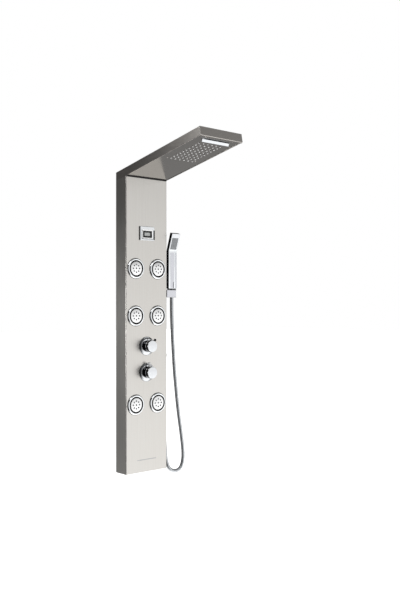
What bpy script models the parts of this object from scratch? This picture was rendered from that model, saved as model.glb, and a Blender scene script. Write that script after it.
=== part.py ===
"""Wall-hung shower column with a sloped rain and waterfall head, body jets, two controls and a handset.

Metres, +Z up, wall on the plane Y = 0, room towards -Y. The origin is the back of the upper wall bracket.
"""

import math

import bmesh
import bpy
from mathutils import Matrix, Vector

# Overall sizes
FOOT = -1.020
WIDTH = 0.200
DEPTH = 0.066
SHEET = 0.0015
GAP = 0.0003
FOLD_RADIUS = 0.0025
BACK_FLANGE = 0.015

# Head: a straight tray that climbs from the wall
HEAD_SLOPE = math.radians(11.3)
HEAD_TOP = 1.168
HEAD_REACH = 0.4937
HEAD_THICKNESS = 0.031
PLATE_RECESS = 0.0030
NOZZLE_COLUMNS = 6
NOZZLE_ROWS = 10
NOZZLE_PITCH_X = 0.0204
NOZZLE_PITCH_Y = 0.0175
NOZZLE_FIELD_START = 0.279
NOZZLE_RADIUS = 0.0023
NOZZLE_HOLE_RADIUS = 0.0032
SLOT_CENTRE = 0.4755
SLOT_LENGTH = 0.126
SLOT_WIDTH = 0.011
PLATE_SCREWS = ((0.278, 0.064), (0.278, -0.064), (0.494, 0.064), (0.494, -0.064))

# Body jets
JET_HEIGHTS = (0.794, 0.610, 0.265)
JET_BALL_RADIUS = 0.030
JET_BARREL_RADIUS = JET_BALL_RADIUS + 0.003
JET_BEZEL_RADIUS = JET_BARREL_RADIUS + 0.0065
JET_BEZEL_PROUD = 0.005
JET_FACE_RADIUS = JET_BALL_RADIUS - 0.0038
JET_OFFSET = WIDTH / 2 - JET_BEZEL_RADIUS - 0.0066
JET_TILT = math.radians(12)
JET_RING_RADIUS = 0.015
JET_HOLE_RADIUS = 0.0030
JET_NIPPLE_RADIUS = 0.0022

# Display
DISPLAY_HEIGHT = 0.932
DISPLAY_SIZE = (0.070, 0.055)
DISPLAY_OPENING = (0.043, 0.026)
DISPLAY_OPENING_DROP = 0.003
DISPLAY_PROUD = 0.005
DISPLAY_CUTOUT = (0.056, 0.042)

# Controls
MIXER_HEIGHT = 0.4915
DIVERTER_HEIGHT = 0.389
FLANGE_RADIUS = 0.036
FLANGE_THICKNESS = 0.005
KNOB_RADIUS = 0.023
KNOB_FRONT = 0.0375
PIN_RADIUS = 0.005
PIN_TIP = 0.0395
PIN_FORWARD = 0.0175
MIXER_PIN_TURN = math.radians(50)
DIVERTER_PIN_TURN = 0.0
NECK_RADIUS = 0.017
SPINDLE_RADIUS = 0.005
VALVE_HALF = (0.022, 0.028)
VALVE_BACK = 0.024

# Water ways
PIPE_RADIUS = 0.006
BORE_RADIUS = 0.0048
PIPE_BACK = 0.012
RAIN_PIPE_X = -WIDTH / 2 + 0.018
RAIN_PIPE_BACK = 0.031
INLET_X = 0.034
OUTLET_HEIGHT = 0.470
OUTLET_BACK = 0.031
OUTLET_DROP_X = WIDTH / 2 + 0.0150
CROSS_HEIGHT = 0.330
PIPE_DEPTH = 0.0165
RAIN_ENTRY_X = -0.050

# Handset, holder and hose
HANDSET_X = WIDTH / 2 + 0.035
HANDSET_BACK = 0.0545
HANDSET_WIDTH = 0.042
HANDSET_THICKNESS = 0.015
HANDSET_FOOT = 0.7140
HANDSET_BEND = 0.871
HANDSET_LEAN = math.radians(18.8)
HANDSET_HEAD_LENGTH = 0.0732
SPRAY_SIZE = (0.030, 0.046)
HOLDER_TOP = 0.7135
HOLDER_BOTTOM = 0.6828
HOLDER_REACH = 0.0492
HOSE_RADIUS = 0.007

BRACKET_LOW = 0.150


def height(above_foot):
    return FOOT + above_foot


def collection(name):
    made = bpy.data.collections.new(name)
    bpy.context.scene.collection.children.link(made)
    return made


for old in list(bpy.data.objects):
    bpy.data.objects.remove(old, do_unlink=True)
parts = collection("shower_column")
cutters = collection("cutters")
cutters.hide_render = True


def material(name, colour, metallic, roughness):
    made = bpy.data.materials.new(name)
    made.use_nodes = True
    shader = made.node_tree.nodes["Principled BSDF"]
    shader.inputs["Base Color"].default_value = (*colour, 1)
    shader.inputs["Metallic"].default_value = metallic
    shader.inputs["Roughness"].default_value = roughness
    made.diffuse_color = (*colour, 1)
    return made


SURFACES = {
    "brushed_steel": ((0.56, 0.55, 0.53), 1.0, 0.34),
    "polished_steel": ((0.50, 0.49, 0.47), 1.0, 0.18),
    "chrome": ((0.82, 0.83, 0.84), 1.0, 0.06),
    "brass": ((0.70, 0.55, 0.26), 1.0, 0.35),
    "white_plastic": ((0.80, 0.80, 0.79), 0.0, 0.40),
    "black_plastic": ((0.05, 0.05, 0.05), 0.0, 0.45),
    "silicone": ((0.74, 0.74, 0.73), 0.0, 0.55),
    "grey_face": ((0.26, 0.27, 0.28), 0.0, 0.40),
    "window": ((0.35, 0.37, 0.37), 0.0, 0.12),
    "hose_steel": ((0.62, 0.63, 0.64), 1.0, 0.25),
}


def finish(obj, surface, home=parts):
    """Put the object in its collection and give it its own material."""
    for other in obj.users_collection:
        other.objects.unlink(obj)
    home.objects.link(obj)
    if home is cutters:
        obj.hide_render = True
        obj.display_type = "WIRE"
    else:
        obj.data.materials.clear()
        obj.data.materials.append(material(obj.name, *SURFACES[surface]))
    return obj


def mesh_object(name, build, surface, home=parts):
    """Make an object from a function that fills a bmesh."""
    work = bmesh.new()
    build(work)
    bmesh.ops.recalc_face_normals(work, faces=work.faces)
    data = bpy.data.meshes.new(name)
    work.to_mesh(data)
    work.free()
    obj = bpy.data.objects.new(name, data)
    parts.objects.link(obj)
    return finish(obj, surface, home)


def block(name, low, high, surface, home=parts):
    low = Vector(low)
    high = Vector(high)

    def build(work):
        scale = Matrix.Diagonal((*(high - low), 1))
        bmesh.ops.create_cube(work, size=1, matrix=Matrix.Translation((low + high) / 2) @ scale)

    return mesh_object(name, build, surface, home)


def prism(name, outline, along, low, high, surface, home=parts):
    """Extrude a flat outline from low to high. Along "X" it is (y, z), and along "Z" it is (x, y)."""

    def point(a, b, depth):
        return (depth, a, b) if along == "X" else (a, b, depth)

    def build(work):
        ends = []
        for depth in (low, high):
            ends.append([work.verts.new(point(a, b, depth)) for a, b in outline])
        work.faces.new(ends[0])
        work.faces.new(ends[1])
        count = len(outline)
        for i in range(count):
            j = (i + 1) % count
            work.faces.new((ends[0][i], ends[0][j], ends[1][j], ends[1][i]))

    return mesh_object(name, build, surface, home)


def shade_round(obj):
    """Smooth shading with the corners kept sharp."""
    obj.data.shade_smooth()
    obj.data.set_sharp_from_angle(angle=math.radians(35))
    return obj


def rods(name, ends, radius, surface, sides=12, home=cutters):
    """Straight round bars in one mesh, each from the first point of its pair to the second."""

    def build(work):
        for start, stop in ends:
            start = Vector(start)
            run = Vector(stop) - start
            turn = run.to_track_quat("Z", "Y").to_matrix().to_4x4()
            place = Matrix.Translation(start + run / 2) @ turn
            bmesh.ops.create_cone(
                work,
                cap_ends=True,
                segments=sides,
                radius1=radius,
                radius2=radius,
                depth=run.length,
                matrix=place,
            )

    return shade_round(mesh_object(name, build, surface, home))


def turned(name, profile, place, surface, steps=24, home=parts):
    """Turn (radius, height) points about Z. The profile runs down the outer side and closes on a bore."""
    data = bpy.data.meshes.new(name)
    edges = [(i, i + 1) for i in range(len(profile) - 1)]
    if profile[0][0] > 0:
        edges.append((len(profile) - 1, 0))
    data.from_pydata([(radius, 0, up) for radius, up in profile], edges, [])
    obj = bpy.data.objects.new(name, data)
    parts.objects.link(obj)
    screw = obj.modifiers.new("Turn", "SCREW")
    screw.steps = steps
    screw.render_steps = steps
    screw.use_merge_vertices = True
    screw.merge_threshold = 0.00001
    screw.use_smooth_shade = True
    obj.matrix_world = place
    return finish(obj, surface, home)


def boolean(obj, other, operation="DIFFERENCE"):
    step = obj.modifiers.new(operation.title(), "BOOLEAN")
    step.solver = "EXACT"
    step.operation = operation
    step.object = other
    return obj


def bevel(obj, width, segments=2):
    step = obj.modifiers.new("Bevel", "BEVEL")
    step.width = width
    step.segments = segments
    step.limit_method = "ANGLE"
    return obj


def rounded(corners, bend, steps=4):
    """The corner points of a route with each inner corner replaced by an arc."""
    points = [Vector(corner) for corner in corners]
    route = [points[0]]
    for before, corner, after in zip(points, points[1:], points[2:]):
        back = (before - corner).normalized()
        ahead = (after - corner).normalized()
        half = back.angle(ahead) / 2
        trim = bend / math.tan(half)
        centre = corner + (back + ahead).normalized() * bend / math.sin(half)
        first = corner + back * trim - centre
        last = corner + ahead * trim - centre
        sweep = first.angle(last)
        for i in range(steps + 1):
            share = i / steps
            mixed = first * math.sin((1 - share) * sweep) + last * math.sin(share * sweep)
            route.append(centre + mixed / math.sin(sweep))
    route.append(points[-1])
    return route


def tube(name, route, radius, surface, resolution=1, home=parts, keep_curve=False):
    """A round bar along the route, as a curve with filled caps or as the mesh made from it."""
    curve = bpy.data.curves.new(name, "CURVE")
    curve.dimensions = "3D"
    spline = curve.splines.new("POLY")
    spline.points.add(len(route) - 1)
    for target, point in zip(spline.points, route):
        target.co = (*point, 1)
    curve.bevel_depth = radius
    curve.bevel_resolution = resolution
    curve.use_fill_caps = True
    obj = bpy.data.objects.new(name, curve)
    parts.objects.link(obj)
    if keep_curve:
        return finish(obj, surface, home)
    graph = bpy.context.evaluated_depsgraph_get()
    data = bpy.data.meshes.new_from_object(obj.evaluated_get(graph))
    place = obj.matrix_world.copy()
    bpy.data.objects.remove(obj, do_unlink=True)
    work = bmesh.new()
    work.from_mesh(data)
    bmesh.ops.remove_doubles(work, verts=work.verts, dist=0.00001)
    bmesh.ops.recalc_face_normals(work, faces=work.faces)
    work.to_mesh(data)
    work.free()
    solid = bpy.data.objects.new(name, data)
    parts.objects.link(solid)
    solid.matrix_world = place
    return finish(shade_round(solid), surface, home)


def pipe(name, corners, bend, surface):
    """A hollow pipe, open at both ends."""
    outer = tube(name, rounded(corners, bend), PIPE_RADIUS, surface, 2)
    points = [Vector(corner) for corner in corners]
    points[0] = points[0] + (points[0] - points[1]).normalized() * 0.002
    points[-1] = points[-1] + (points[-1] - points[-2]).normalized() * 0.002
    inner = tube(name + "_bore", rounded(points, bend), BORE_RADIUS, surface, 2, cutters)
    return boolean(outer, inner)


def facing(x, above_foot):
    """Placement of a turned piece whose Z points into the room, measured from the column's front."""
    spot = Matrix.Translation((x, -DEPTH, height(above_foot)))
    return spot @ Matrix.Rotation(math.radians(90), 4, "X")


def pivot(name, spot, names):
    """An empty on a joint's axis, carrying the pieces that move with it."""
    empty = bpy.data.objects.new(name, None)
    parts.objects.link(empty)
    empty.location = spot
    for piece in names:
        bpy.data.objects[piece].parent = empty
        bpy.data.objects[piece].matrix_parent_inverse = Matrix.Translation(spot).inverted()


HEAD_PLACE = Matrix.Translation((0, 0, height(HEAD_TOP))) @ Matrix.Rotation(-HEAD_SLOPE, 4, "X")


def in_head(out, x, below_top):
    """A point of the head: distance out along its top from the wall, across, and square below its top."""
    return HEAD_PLACE @ Vector((x, -out, -below_top))


def head_block(name, low, high, surface, home=parts):
    """A block given as (out, x, below top) corners, square to the head."""
    made = block(name, (low[1], -high[0], -high[2]), (high[1], -low[0], -low[2]), surface, home)
    made.matrix_world = HEAD_PLACE
    return made


def head_rods(name, ends, radius, surface, sides, home=cutters):
    """Bars square to the head: each end pair is (out, x) and two depths below the top."""
    pairs = [((x, -out, -high), (x, -out, -low)) for out, x, low, high in ends]
    made = rods(name, pairs, radius, surface, sides, home)
    made.matrix_world = HEAD_PLACE
    return made


# ------------------------------------------------------------------ column and head sheet
rise = math.tan(HEAD_SLOPE)
lip_drop = HEAD_THICKNESS / math.cos(HEAD_SLOPE)


def lip_height(y):
    """Height above the foot of the head's lower edge at this y."""
    return HEAD_TOP - lip_drop - y * rise


half = WIDTH / 2
fold = []
for i in range(3):
    angle = math.radians(180 + 45 * i)
    fold_x = -half + FOLD_RADIUS + FOLD_RADIUS * math.cos(angle)
    fold_y = -DEPTH + FOLD_RADIUS + FOLD_RADIUS * math.sin(angle)
    fold.append((fold_x, fold_y))
left_side = [(-half + BACK_FLANGE, 0), (-half, 0)] + fold
right_side = [(-x, y) for x, y in reversed(left_side)]
inside_right = [(half - BACK_FLANGE, -SHEET), (half - SHEET, -SHEET), (half - SHEET, -DEPTH + SHEET)]
inside_left = [(-x, y) for x, y in reversed(inside_right)]
channel = left_side + right_side + inside_right + inside_left
shell = prism("column_shell", channel, "Z", height(0), height(HEAD_TOP), "brushed_steel")
foot_low = (-half + SHEET / 2, -DEPTH + SHEET / 2, height(0))
foot_high = (half - SHEET / 2, -0.0002, height(SHEET))
boolean(shell, block("foot_plate", foot_low, foot_high, "brushed_steel", cutters), "UNION")
above = [
    (0.01, height(lip_height(0.01)) - GAP),
    (-DEPTH - 0.01, height(lip_height(-DEPTH - 0.01)) - GAP),
    (-DEPTH - 0.01, height(HEAD_TOP + 0.05)),
    (0.01, height(HEAD_TOP + 0.05)),
]
boolean(shell, prism("top_cut", above, "X", -half - 0.01, half + 0.01, "brushed_steel", cutters))

jets = [(side * JET_OFFSET, up) for up in JET_HEIGHTS for side in (-1, 1)]
front_holes = [((x, -DEPTH - 0.01, height(up)), (x, -DEPTH + 0.01, height(up))) for x, up in jets]
boolean(shell, rods("jet_holes", front_holes, JET_BARREL_RADIUS + 0.0006, "brushed_steel", 24))
neck_holes = []
for up in (MIXER_HEIGHT, DIVERTER_HEIGHT):
    neck_holes.append(((0, -DEPTH - 0.01, height(up)), (0, -DEPTH + 0.01, height(up))))
boolean(shell, rods("neck_holes", neck_holes, NECK_RADIUS + 0.0006, "brushed_steel", 24))
cut_x = DISPLAY_CUTOUT[0] / 2
cut_z = DISPLAY_CUTOUT[1] / 2
display_low = (-cut_x, -DEPTH - 0.01, height(DISPLAY_HEIGHT) - cut_z)
display_high = (cut_x, -DEPTH + 0.01, height(DISPLAY_HEIGHT) + cut_z)
boolean(shell, block("display_hole", display_low, display_high, "brushed_steel", cutters))
outlet_z = height(OUTLET_HEIGHT)
outlet_axis = ((half - 0.01, -OUTLET_BACK, outlet_z), (half + 0.01, -OUTLET_BACK, outlet_z))
boolean(shell, rods("outlet_hole", [outlet_axis], 0.0086, "brushed_steel", 16))

nose_y = -HEAD_REACH
nose_top = height(HEAD_TOP + HEAD_REACH * rise)
nose_low = (
    nose_y - HEAD_THICKNESS * math.sin(HEAD_SLOPE),
    nose_top - HEAD_THICKNESS * math.cos(HEAD_SLOPE),
)
tray = [(0, height(HEAD_TOP)), (nose_y, nose_top), nose_low, (0, height(lip_height(0)))]
head = prism("head_shell", tray, "X", -half, half, "brushed_steel")
head_length = HEAD_REACH / math.cos(HEAD_SLOPE)
hollow_low = (-0.05, -half + SHEET, SHEET)
hollow_high = (head_length - SHEET, half - SHEET, HEAD_THICKNESS + 0.01)
boolean(head, head_block("head_hollow", hollow_low, hollow_high, "brushed_steel", cutters))

# ------------------------------------------------------------------ head: plate, mat, chamber, waterfall
plate_low = HEAD_THICKNESS - PLATE_RECESS
plate_top = plate_low - SHEET
inner_half = half - SHEET
# The plate begins over the column's front sheet, clear of the bracket inside
plate_start = (DEPTH - 0.0035 - plate_low * math.sin(HEAD_SLOPE)) / math.cos(HEAD_SLOPE)
under = head_block(
    "head_underplate",
    (plate_start, -inner_half + GAP, plate_top),
    (head_length - SHEET - GAP, inner_half - GAP, plate_low),
    "polished_steel",
)
field = []
for row in range(NOZZLE_ROWS):
    for column in range(NOZZLE_COLUMNS):
        across = (column - (NOZZLE_COLUMNS - 1) / 2) * NOZZLE_PITCH_X
        field.append((NOZZLE_FIELD_START + row * NOZZLE_PITCH_Y, across))
holes = [(out, x, plate_top - 0.003, plate_low + 0.003) for out, x in field]
boolean(under, head_rods("nozzle_holes", holes, NOZZLE_HOLE_RADIUS, "silicone", 6))
slot_half = (SLOT_LENGTH / 2, SLOT_WIDTH / 2)
slot_low = (SLOT_CENTRE - slot_half[1] - GAP, -slot_half[0] - GAP, plate_top - 0.003)
slot_high = (SLOT_CENTRE + slot_half[1] + GAP, slot_half[0] + GAP, plate_low + 0.003)
boolean(under, head_block("slot_hole", slot_low, slot_high, "silicone", cutters))
screws = [(out, x, plate_low - SHEET / 2, plate_low + 0.0012) for out, x in PLATE_SCREWS]
boolean(under, head_rods("plate_screws", screws, 0.0035, "chrome", 8), "UNION")

field_end = NOZZLE_FIELD_START + (NOZZLE_ROWS - 1) * NOZZLE_PITCH_Y
mat_low = plate_top - GAP
mat_top = mat_low - 0.002
mat = head_block(
    "rain_nozzles",
    (NOZZLE_FIELD_START - 0.012, -0.064, mat_top),
    (field_end + 0.012, 0.064, mat_low),
    "silicone",
)
tips = [(out, x, mat_top + 0.001, plate_low + 0.0016) for out, x in field]
boolean(mat, head_rods("nozzle_tips", tips, NOZZLE_RADIUS, "silicone", 6), "UNION")

chamber_top = 0.0085
chamber_start = NOZZLE_FIELD_START - 0.017
chamber = head_block(
    "rain_chamber",
    (chamber_start, -0.070, chamber_top),
    (field_end + 0.017, 0.070, mat_low),
    "white_plastic",
)
chamber_hollow = (
    (chamber_start + 0.0045, -0.0645, chamber_top + 0.002),
    (field_end + 0.0125, 0.0645, mat_low + 0.01),
)
boolean(chamber, head_block("chamber_hollow", *chamber_hollow, "white_plastic", cutters))
entry_ends = (
    (RAIN_ENTRY_X, -chamber_start + 0.01, -PIPE_DEPTH),
    (RAIN_ENTRY_X, -chamber_start - 0.01, -PIPE_DEPTH),
)
entry = rods("rain_entry", [entry_ends], BORE_RADIUS, "white_plastic")
entry.matrix_world = HEAD_PLACE
boolean(chamber, entry)

spout_half = SLOT_LENGTH / 2
spout = head_block(
    "waterfall_spout",
    (SLOT_CENTRE - 0.0125, -spout_half - 0.003, 0.010),
    (SLOT_CENTRE + 0.0125, spout_half + 0.003, mat_low),
    "chrome",
)
neck = (
    (SLOT_CENTRE - slot_half[1], -spout_half, mat_low - 0.002),
    (SLOT_CENTRE + slot_half[1], spout_half, plate_low + 0.002),
)
boolean(spout, head_block("spout_neck", *neck, "chrome", cutters), "UNION")
basin = (
    (SLOT_CENTRE - 0.0105, -spout_half - 0.001, 0.012),
    (SLOT_CENTRE + 0.0105, spout_half + 0.001, mat_low - 0.002),
)
boolean(spout, head_block("spout_basin", *basin, "chrome", cutters))
mouth_half = SLOT_WIDTH / 2 - 0.0014
mouth = (
    (SLOT_CENTRE - mouth_half, -spout_half + 0.003, mat_low - 0.004),
    (SLOT_CENTRE + mouth_half, spout_half - 0.003, 0.04),
)
boolean(spout, head_block("spout_mouth", *mouth, "chrome", cutters))
fall_entry = rods(
    "fall_entry",
    [((spout_half - 0.003, -SLOT_CENTRE, -PIPE_DEPTH), (spout_half + 0.01, -SLOT_CENTRE, -PIPE_DEPTH))],
    BORE_RADIUS,
    "chrome",
)
fall_entry.matrix_world = HEAD_PLACE
boolean(spout, fall_entry)

# ------------------------------------------------------------------ brackets
ear = half - SHEET - GAP


def ear_top(y):
    return height(HEAD_TOP - y * rise) - (SHEET + GAP + 0.0004) / math.cos(HEAD_SLOPE)


ears = [
    (-0.008, height(1.090)),
    (-0.008, ear_top(-0.008)),
    (-0.058, ear_top(-0.058)),
    (-0.058, height(1.090)),
]
bracket = prism("head_bracket", ears, "X", -ear, ear, "brushed_steel")
inside = [(0.01, height(1.092)), (0.01, height(1.25)), (-0.10, height(1.25)), (-0.10, height(1.092))]
boolean(bracket, prism("bracket_inside", inside, "X", -ear + 0.002, ear - 0.002, "brushed_steel", cutters))
passage = ((-ear + 0.002, -0.042, height(1.080)), (ear - 0.002, 0.01, height(1.10)))
boolean(bracket, block("bracket_passage", *passage, "brushed_steel", cutters))

tab = half - BACK_FLANGE
for name, middle in (("wall_bracket_upper", 0.0), ("wall_bracket_lower", height(BRACKET_LOW))):
    hat = [
        (-tab + 0.001, 0),
        (tab - 0.001, 0),
        (tab - 0.001, -SHEET - GAP),
        (tab + 0.010, -SHEET - GAP),
        (tab + 0.010, -SHEET - GAP - 0.002),
        (-tab - 0.010, -SHEET - GAP - 0.002),
        (-tab - 0.010, -SHEET - GAP),
        (-tab + 0.001, -SHEET - GAP),
    ]
    plate = prism(name, hat, "Z", middle - 0.020, middle + 0.020, "brushed_steel")
    screw_axes = [((x, 0.01, middle), (x, -0.01, middle)) for x in (-0.060, 0.060)]
    boolean(plate, rods(name + "_holes", screw_axes, 0.003, "brushed_steel", 12))

# ------------------------------------------------------------------ display
frame_x = DISPLAY_SIZE[0] / 2
frame_z = DISPLAY_SIZE[1] / 2
open_x = DISPLAY_OPENING[0] / 2
open_z = DISPLAY_OPENING[1] / 2
middle = height(DISPLAY_HEIGHT)
window_middle = middle - DISPLAY_OPENING_DROP
frame = block(
    "display_frame",
    (-frame_x, -DEPTH - DISPLAY_PROUD, middle - frame_z),
    (frame_x, -DEPTH - GAP, middle + frame_z),
    "chrome",
)
bevel(frame, 0.0012, 1)
opening = (
    (-open_x, -DEPTH - 0.02, window_middle - open_z),
    (open_x, -DEPTH + 0.01, window_middle + open_z),
)
boolean(frame, block("display_opening", *opening, "chrome", cutters))
block(
    "display_window",
    (-open_x + GAP, -DEPTH - 0.0038, window_middle - open_z + GAP),
    (open_x - GAP, -DEPTH - 0.0018, window_middle + open_z - GAP),
    "window",
)
block(
    "display_module",
    (-open_x + GAP, -DEPTH - 0.0015, window_middle - open_z + GAP),
    (open_x - GAP, -DEPTH + 0.016, window_middle + open_z - GAP),
    "black_plastic",
)

# ------------------------------------------------------------------ body jets
ball_centre = JET_BEZEL_PROUD - math.sqrt(JET_BALL_RADIUS**2 - JET_FACE_RADIUS**2)


def arc(radius, start, stop, steps, centre=0.0):
    """Points of an arc about the axis, by angle from the axis's front end, in degrees."""
    points = []
    for i in range(steps + 1):
        angle = math.radians(start + (stop - start) * i / steps)
        points.append((radius * math.sin(angle), centre + radius * math.cos(angle)))
    return points


# The cup of the swivelling face ends 16 degrees behind the ball's middle
cavity_back = ball_centre - JET_BALL_RADIUS * math.sin(math.radians(16) + JET_TILT) - 0.0008
barrel_back = cavity_back - 0.0025
inlet_back = barrel_back - 0.0175
socket = arc(JET_BALL_RADIUS + 0.0005, 100, 74, 3, ball_centre)
body_profile = (
    [(JET_BEZEL_RADIUS - 0.0045, JET_BEZEL_PROUD), (JET_BEZEL_RADIUS, 0.0015), (JET_BEZEL_RADIUS, GAP)]
    + [(JET_BARREL_RADIUS, GAP), (JET_BARREL_RADIUS, barrel_back), (0.008, barrel_back), (0.008, inlet_back)]
    + [(0.005, inlet_back), (0.005, cavity_back), (JET_BALL_RADIUS, cavity_back)]
    + socket
    + [(JET_BALL_RADIUS - 0.001, JET_BEZEL_PROUD)]
)
face_profile = (
    [(0, JET_BEZEL_PROUD), (JET_FACE_RADIUS - 0.001, JET_BEZEL_PROUD)]
    + arc(JET_BALL_RADIUS, math.degrees(math.asin(JET_FACE_RADIUS / JET_BALL_RADIUS)), 106, 4, ball_centre)
    + [
        (JET_BALL_RADIUS - 0.005, ball_centre - JET_BALL_RADIUS * math.sin(math.radians(16))),
        (JET_BALL_RADIUS - 0.006, JET_BEZEL_PROUD - 0.0045),
        (0, JET_BEZEL_PROUD - 0.0045),
    ]
)
nut_bore = JET_BARREL_RADIUS + GAP
nut_edge = JET_BARREL_RADIUS + 0.006
nut_profile = [(nut_edge, -0.0022), (nut_edge, -0.0085), (nut_bore, -0.0085), (nut_bore, -0.0022)]
mat_edge = JET_FACE_RADIUS - 0.0037
mat_profile = [(0, -0.0002), (mat_edge, -0.0002), (mat_edge, -0.0022), (0, -0.0022)]
nozzle_spots = [(0.0, 0.0)]
for i in range(8):
    angle = math.radians(45 * i)
    nozzle_spots.append((JET_RING_RADIUS * math.cos(angle), JET_RING_RADIUS * math.sin(angle)))
for number, (x, up) in enumerate(jets, 1):
    place = facing(x, up)
    turned(f"jet_body_{number}", body_profile, place, "chrome", 20)
    turned(f"jet_nut_{number}", nut_profile, place, "white_plastic", 20)
    face = turned(f"jet_face_{number}", face_profile, place, "white_plastic", 20)
    face_axes = [((a, b, -0.01), (a, b, 0.02)) for a, b in nozzle_spots]
    face_holes = rods(f"jet_face_holes_{number}", face_axes, JET_HOLE_RADIUS, "white_plastic", 6)
    face_holes.matrix_world = place
    boolean(face, face_holes)
    soft = turned(f"jet_nozzles_{number}", mat_profile, place, "silicone", 12)
    tip_axes = [((a, b, -0.0012), (a, b, JET_BEZEL_PROUD + 0.001)) for a, b in nozzle_spots]
    soft_tips = rods(f"jet_tips_{number}", tip_axes, JET_NIPPLE_RADIUS, "silicone", 6)
    soft_tips.matrix_world = place
    boolean(soft, soft_tips, "UNION")

# ------------------------------------------------------------------ controls
flange_profile = [
    (FLANGE_RADIUS - 0.010, FLANGE_THICKNESS),
    (FLANGE_RADIUS - 0.002, FLANGE_THICKNESS - 0.0012),
    (FLANGE_RADIUS, 0.0015),
    (FLANGE_RADIUS, GAP),
    (NECK_RADIUS + GAP, GAP),
    (NECK_RADIUS + GAP, FLANGE_THICKNESS),
]
knob_profile = [
    (0, KNOB_FRONT),
    (KNOB_RADIUS - 0.0012, KNOB_FRONT),
    (KNOB_RADIUS, KNOB_FRONT - 0.0012),
    (KNOB_RADIUS, FLANGE_THICKNESS + 0.0006),
    (KNOB_RADIUS - 0.003, FLANGE_THICKNESS + 0.0006),
    (KNOB_RADIUS - 0.003, KNOB_FRONT - 0.012),
    (SPINDLE_RADIUS + GAP, KNOB_FRONT - 0.012),
    (SPINDLE_RADIUS + GAP, KNOB_FRONT - 0.004),
    (0, KNOB_FRONT - 0.004),
]
controls = (("mixer", MIXER_HEIGHT, MIXER_PIN_TURN), ("diverter", DIVERTER_HEIGHT, DIVERTER_PIN_TURN))
for control, up, turn in controls:
    place = facing(0, up)
    turned(f"{control}_flange", flange_profile, place, "chrome", 32)
    knob = turned(f"{control}_knob", knob_profile, place, "chrome", 32)
    pin_way = Vector((math.sin(turn), math.cos(turn), 0))
    start = pin_way * (KNOB_RADIUS - 0.002) + Vector((0, 0, PIN_FORWARD))
    pin_ends = (start, start + pin_way * 0.01)
    socket_cut = rods(f"{control}_pin_hole", [pin_ends], PIN_RADIUS - 0.0017, "chrome", 12)
    socket_cut.matrix_world = place
    boolean(knob, socket_cut)
    pin_profile = [
        (0, PIN_TIP),
        (PIN_RADIUS - 0.0015, PIN_TIP),
        (PIN_RADIUS, PIN_TIP - 0.0015),
        (PIN_RADIUS, KNOB_RADIUS + GAP),
        (PIN_RADIUS - 0.002, KNOB_RADIUS + GAP),
        (PIN_RADIUS - 0.002, KNOB_RADIUS - 0.0017),
        (0, KNOB_RADIUS - 0.0017),
    ]
    upright = Matrix.Rotation(math.radians(-90), 4, "X")
    pin_place = place @ Matrix.Translation((0, 0, PIN_FORWARD)) @ Matrix.Rotation(-turn, 4, "Z") @ upright
    turned(f"{control}_pin", pin_profile, pin_place, "chrome", 12)
    spindle_end = KNOB_FRONT - 0.004 - GAP
    spindle = [
        (0, spindle_end),
        (SPINDLE_RADIUS, spindle_end),
        (SPINDLE_RADIUS, -0.010),
        (SPINDLE_RADIUS + 0.003, -0.010),
        (SPINDLE_RADIUS + 0.003, -0.014),
        (0, -0.014),
    ]
    turned(f"{control}_spindle", spindle, place, "brass", 16)
    body_low = (-VALVE_HALF[0], -DEPTH + SHEET + GAP, height(up) - VALVE_HALF[1])
    body_high = (VALVE_HALF[0], -VALVE_BACK, height(up) + VALVE_HALF[1])
    valve = bevel(block(f"{control}_valve", body_low, body_high, "brass"), 0.003, 1)
    front = [((0, -DEPTH + 0.01, height(up)), (0, -DEPTH - FLANGE_THICKNESS, height(up)))]
    boolean(valve, rods(f"{control}_neck", front, NECK_RADIUS, "brass", 24), "UNION")
    core = turned(
        f"{control}_core",
        [
            (0, 0.010),
            (SPINDLE_RADIUS + GAP, 0.010),
            (SPINDLE_RADIUS + GAP, -0.010 + GAP),
            (SPINDLE_RADIUS + 0.0036, -0.010 + GAP),
            (SPINDLE_RADIUS + 0.0036, -0.016),
            (0, -0.016),
        ],
        place,
        "brass",
        16,
        cutters,
    )
    boolean(valve, core)

ports = {
    "mixer": [
        ((-0.03, -0.033, 0), (-0.012, -0.033, 0)),
        ((0.03, -0.033, 0), (0.012, -0.033, 0)),
        ((0, -0.040, -0.035), (0, -0.040, -0.018)),
    ],
    "diverter": [
        ((0, -0.040, 0.035), (0, -0.040, 0.018)),
        ((0, -0.040, -0.035), (0, -0.040, -0.018)),
        ((-0.03, -RAIN_PIPE_BACK, 0), (-0.012, -RAIN_PIPE_BACK, 0)),
        ((0.03, -OUTLET_BACK, 0), (0.012, -OUTLET_BACK, 0)),
        ((0, -0.010, 0), (0, -0.035, 0)),
    ],
}
for control, up in (("mixer", MIXER_HEIGHT), ("diverter", DIVERTER_HEIGHT)):
    drill = rods(f"{control}_ports", ports[control], BORE_RADIUS, "brass", 10)
    drill.location = (0, 0, height(up))
    boolean(bpy.data.objects[f"{control}_valve"], drill)

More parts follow.
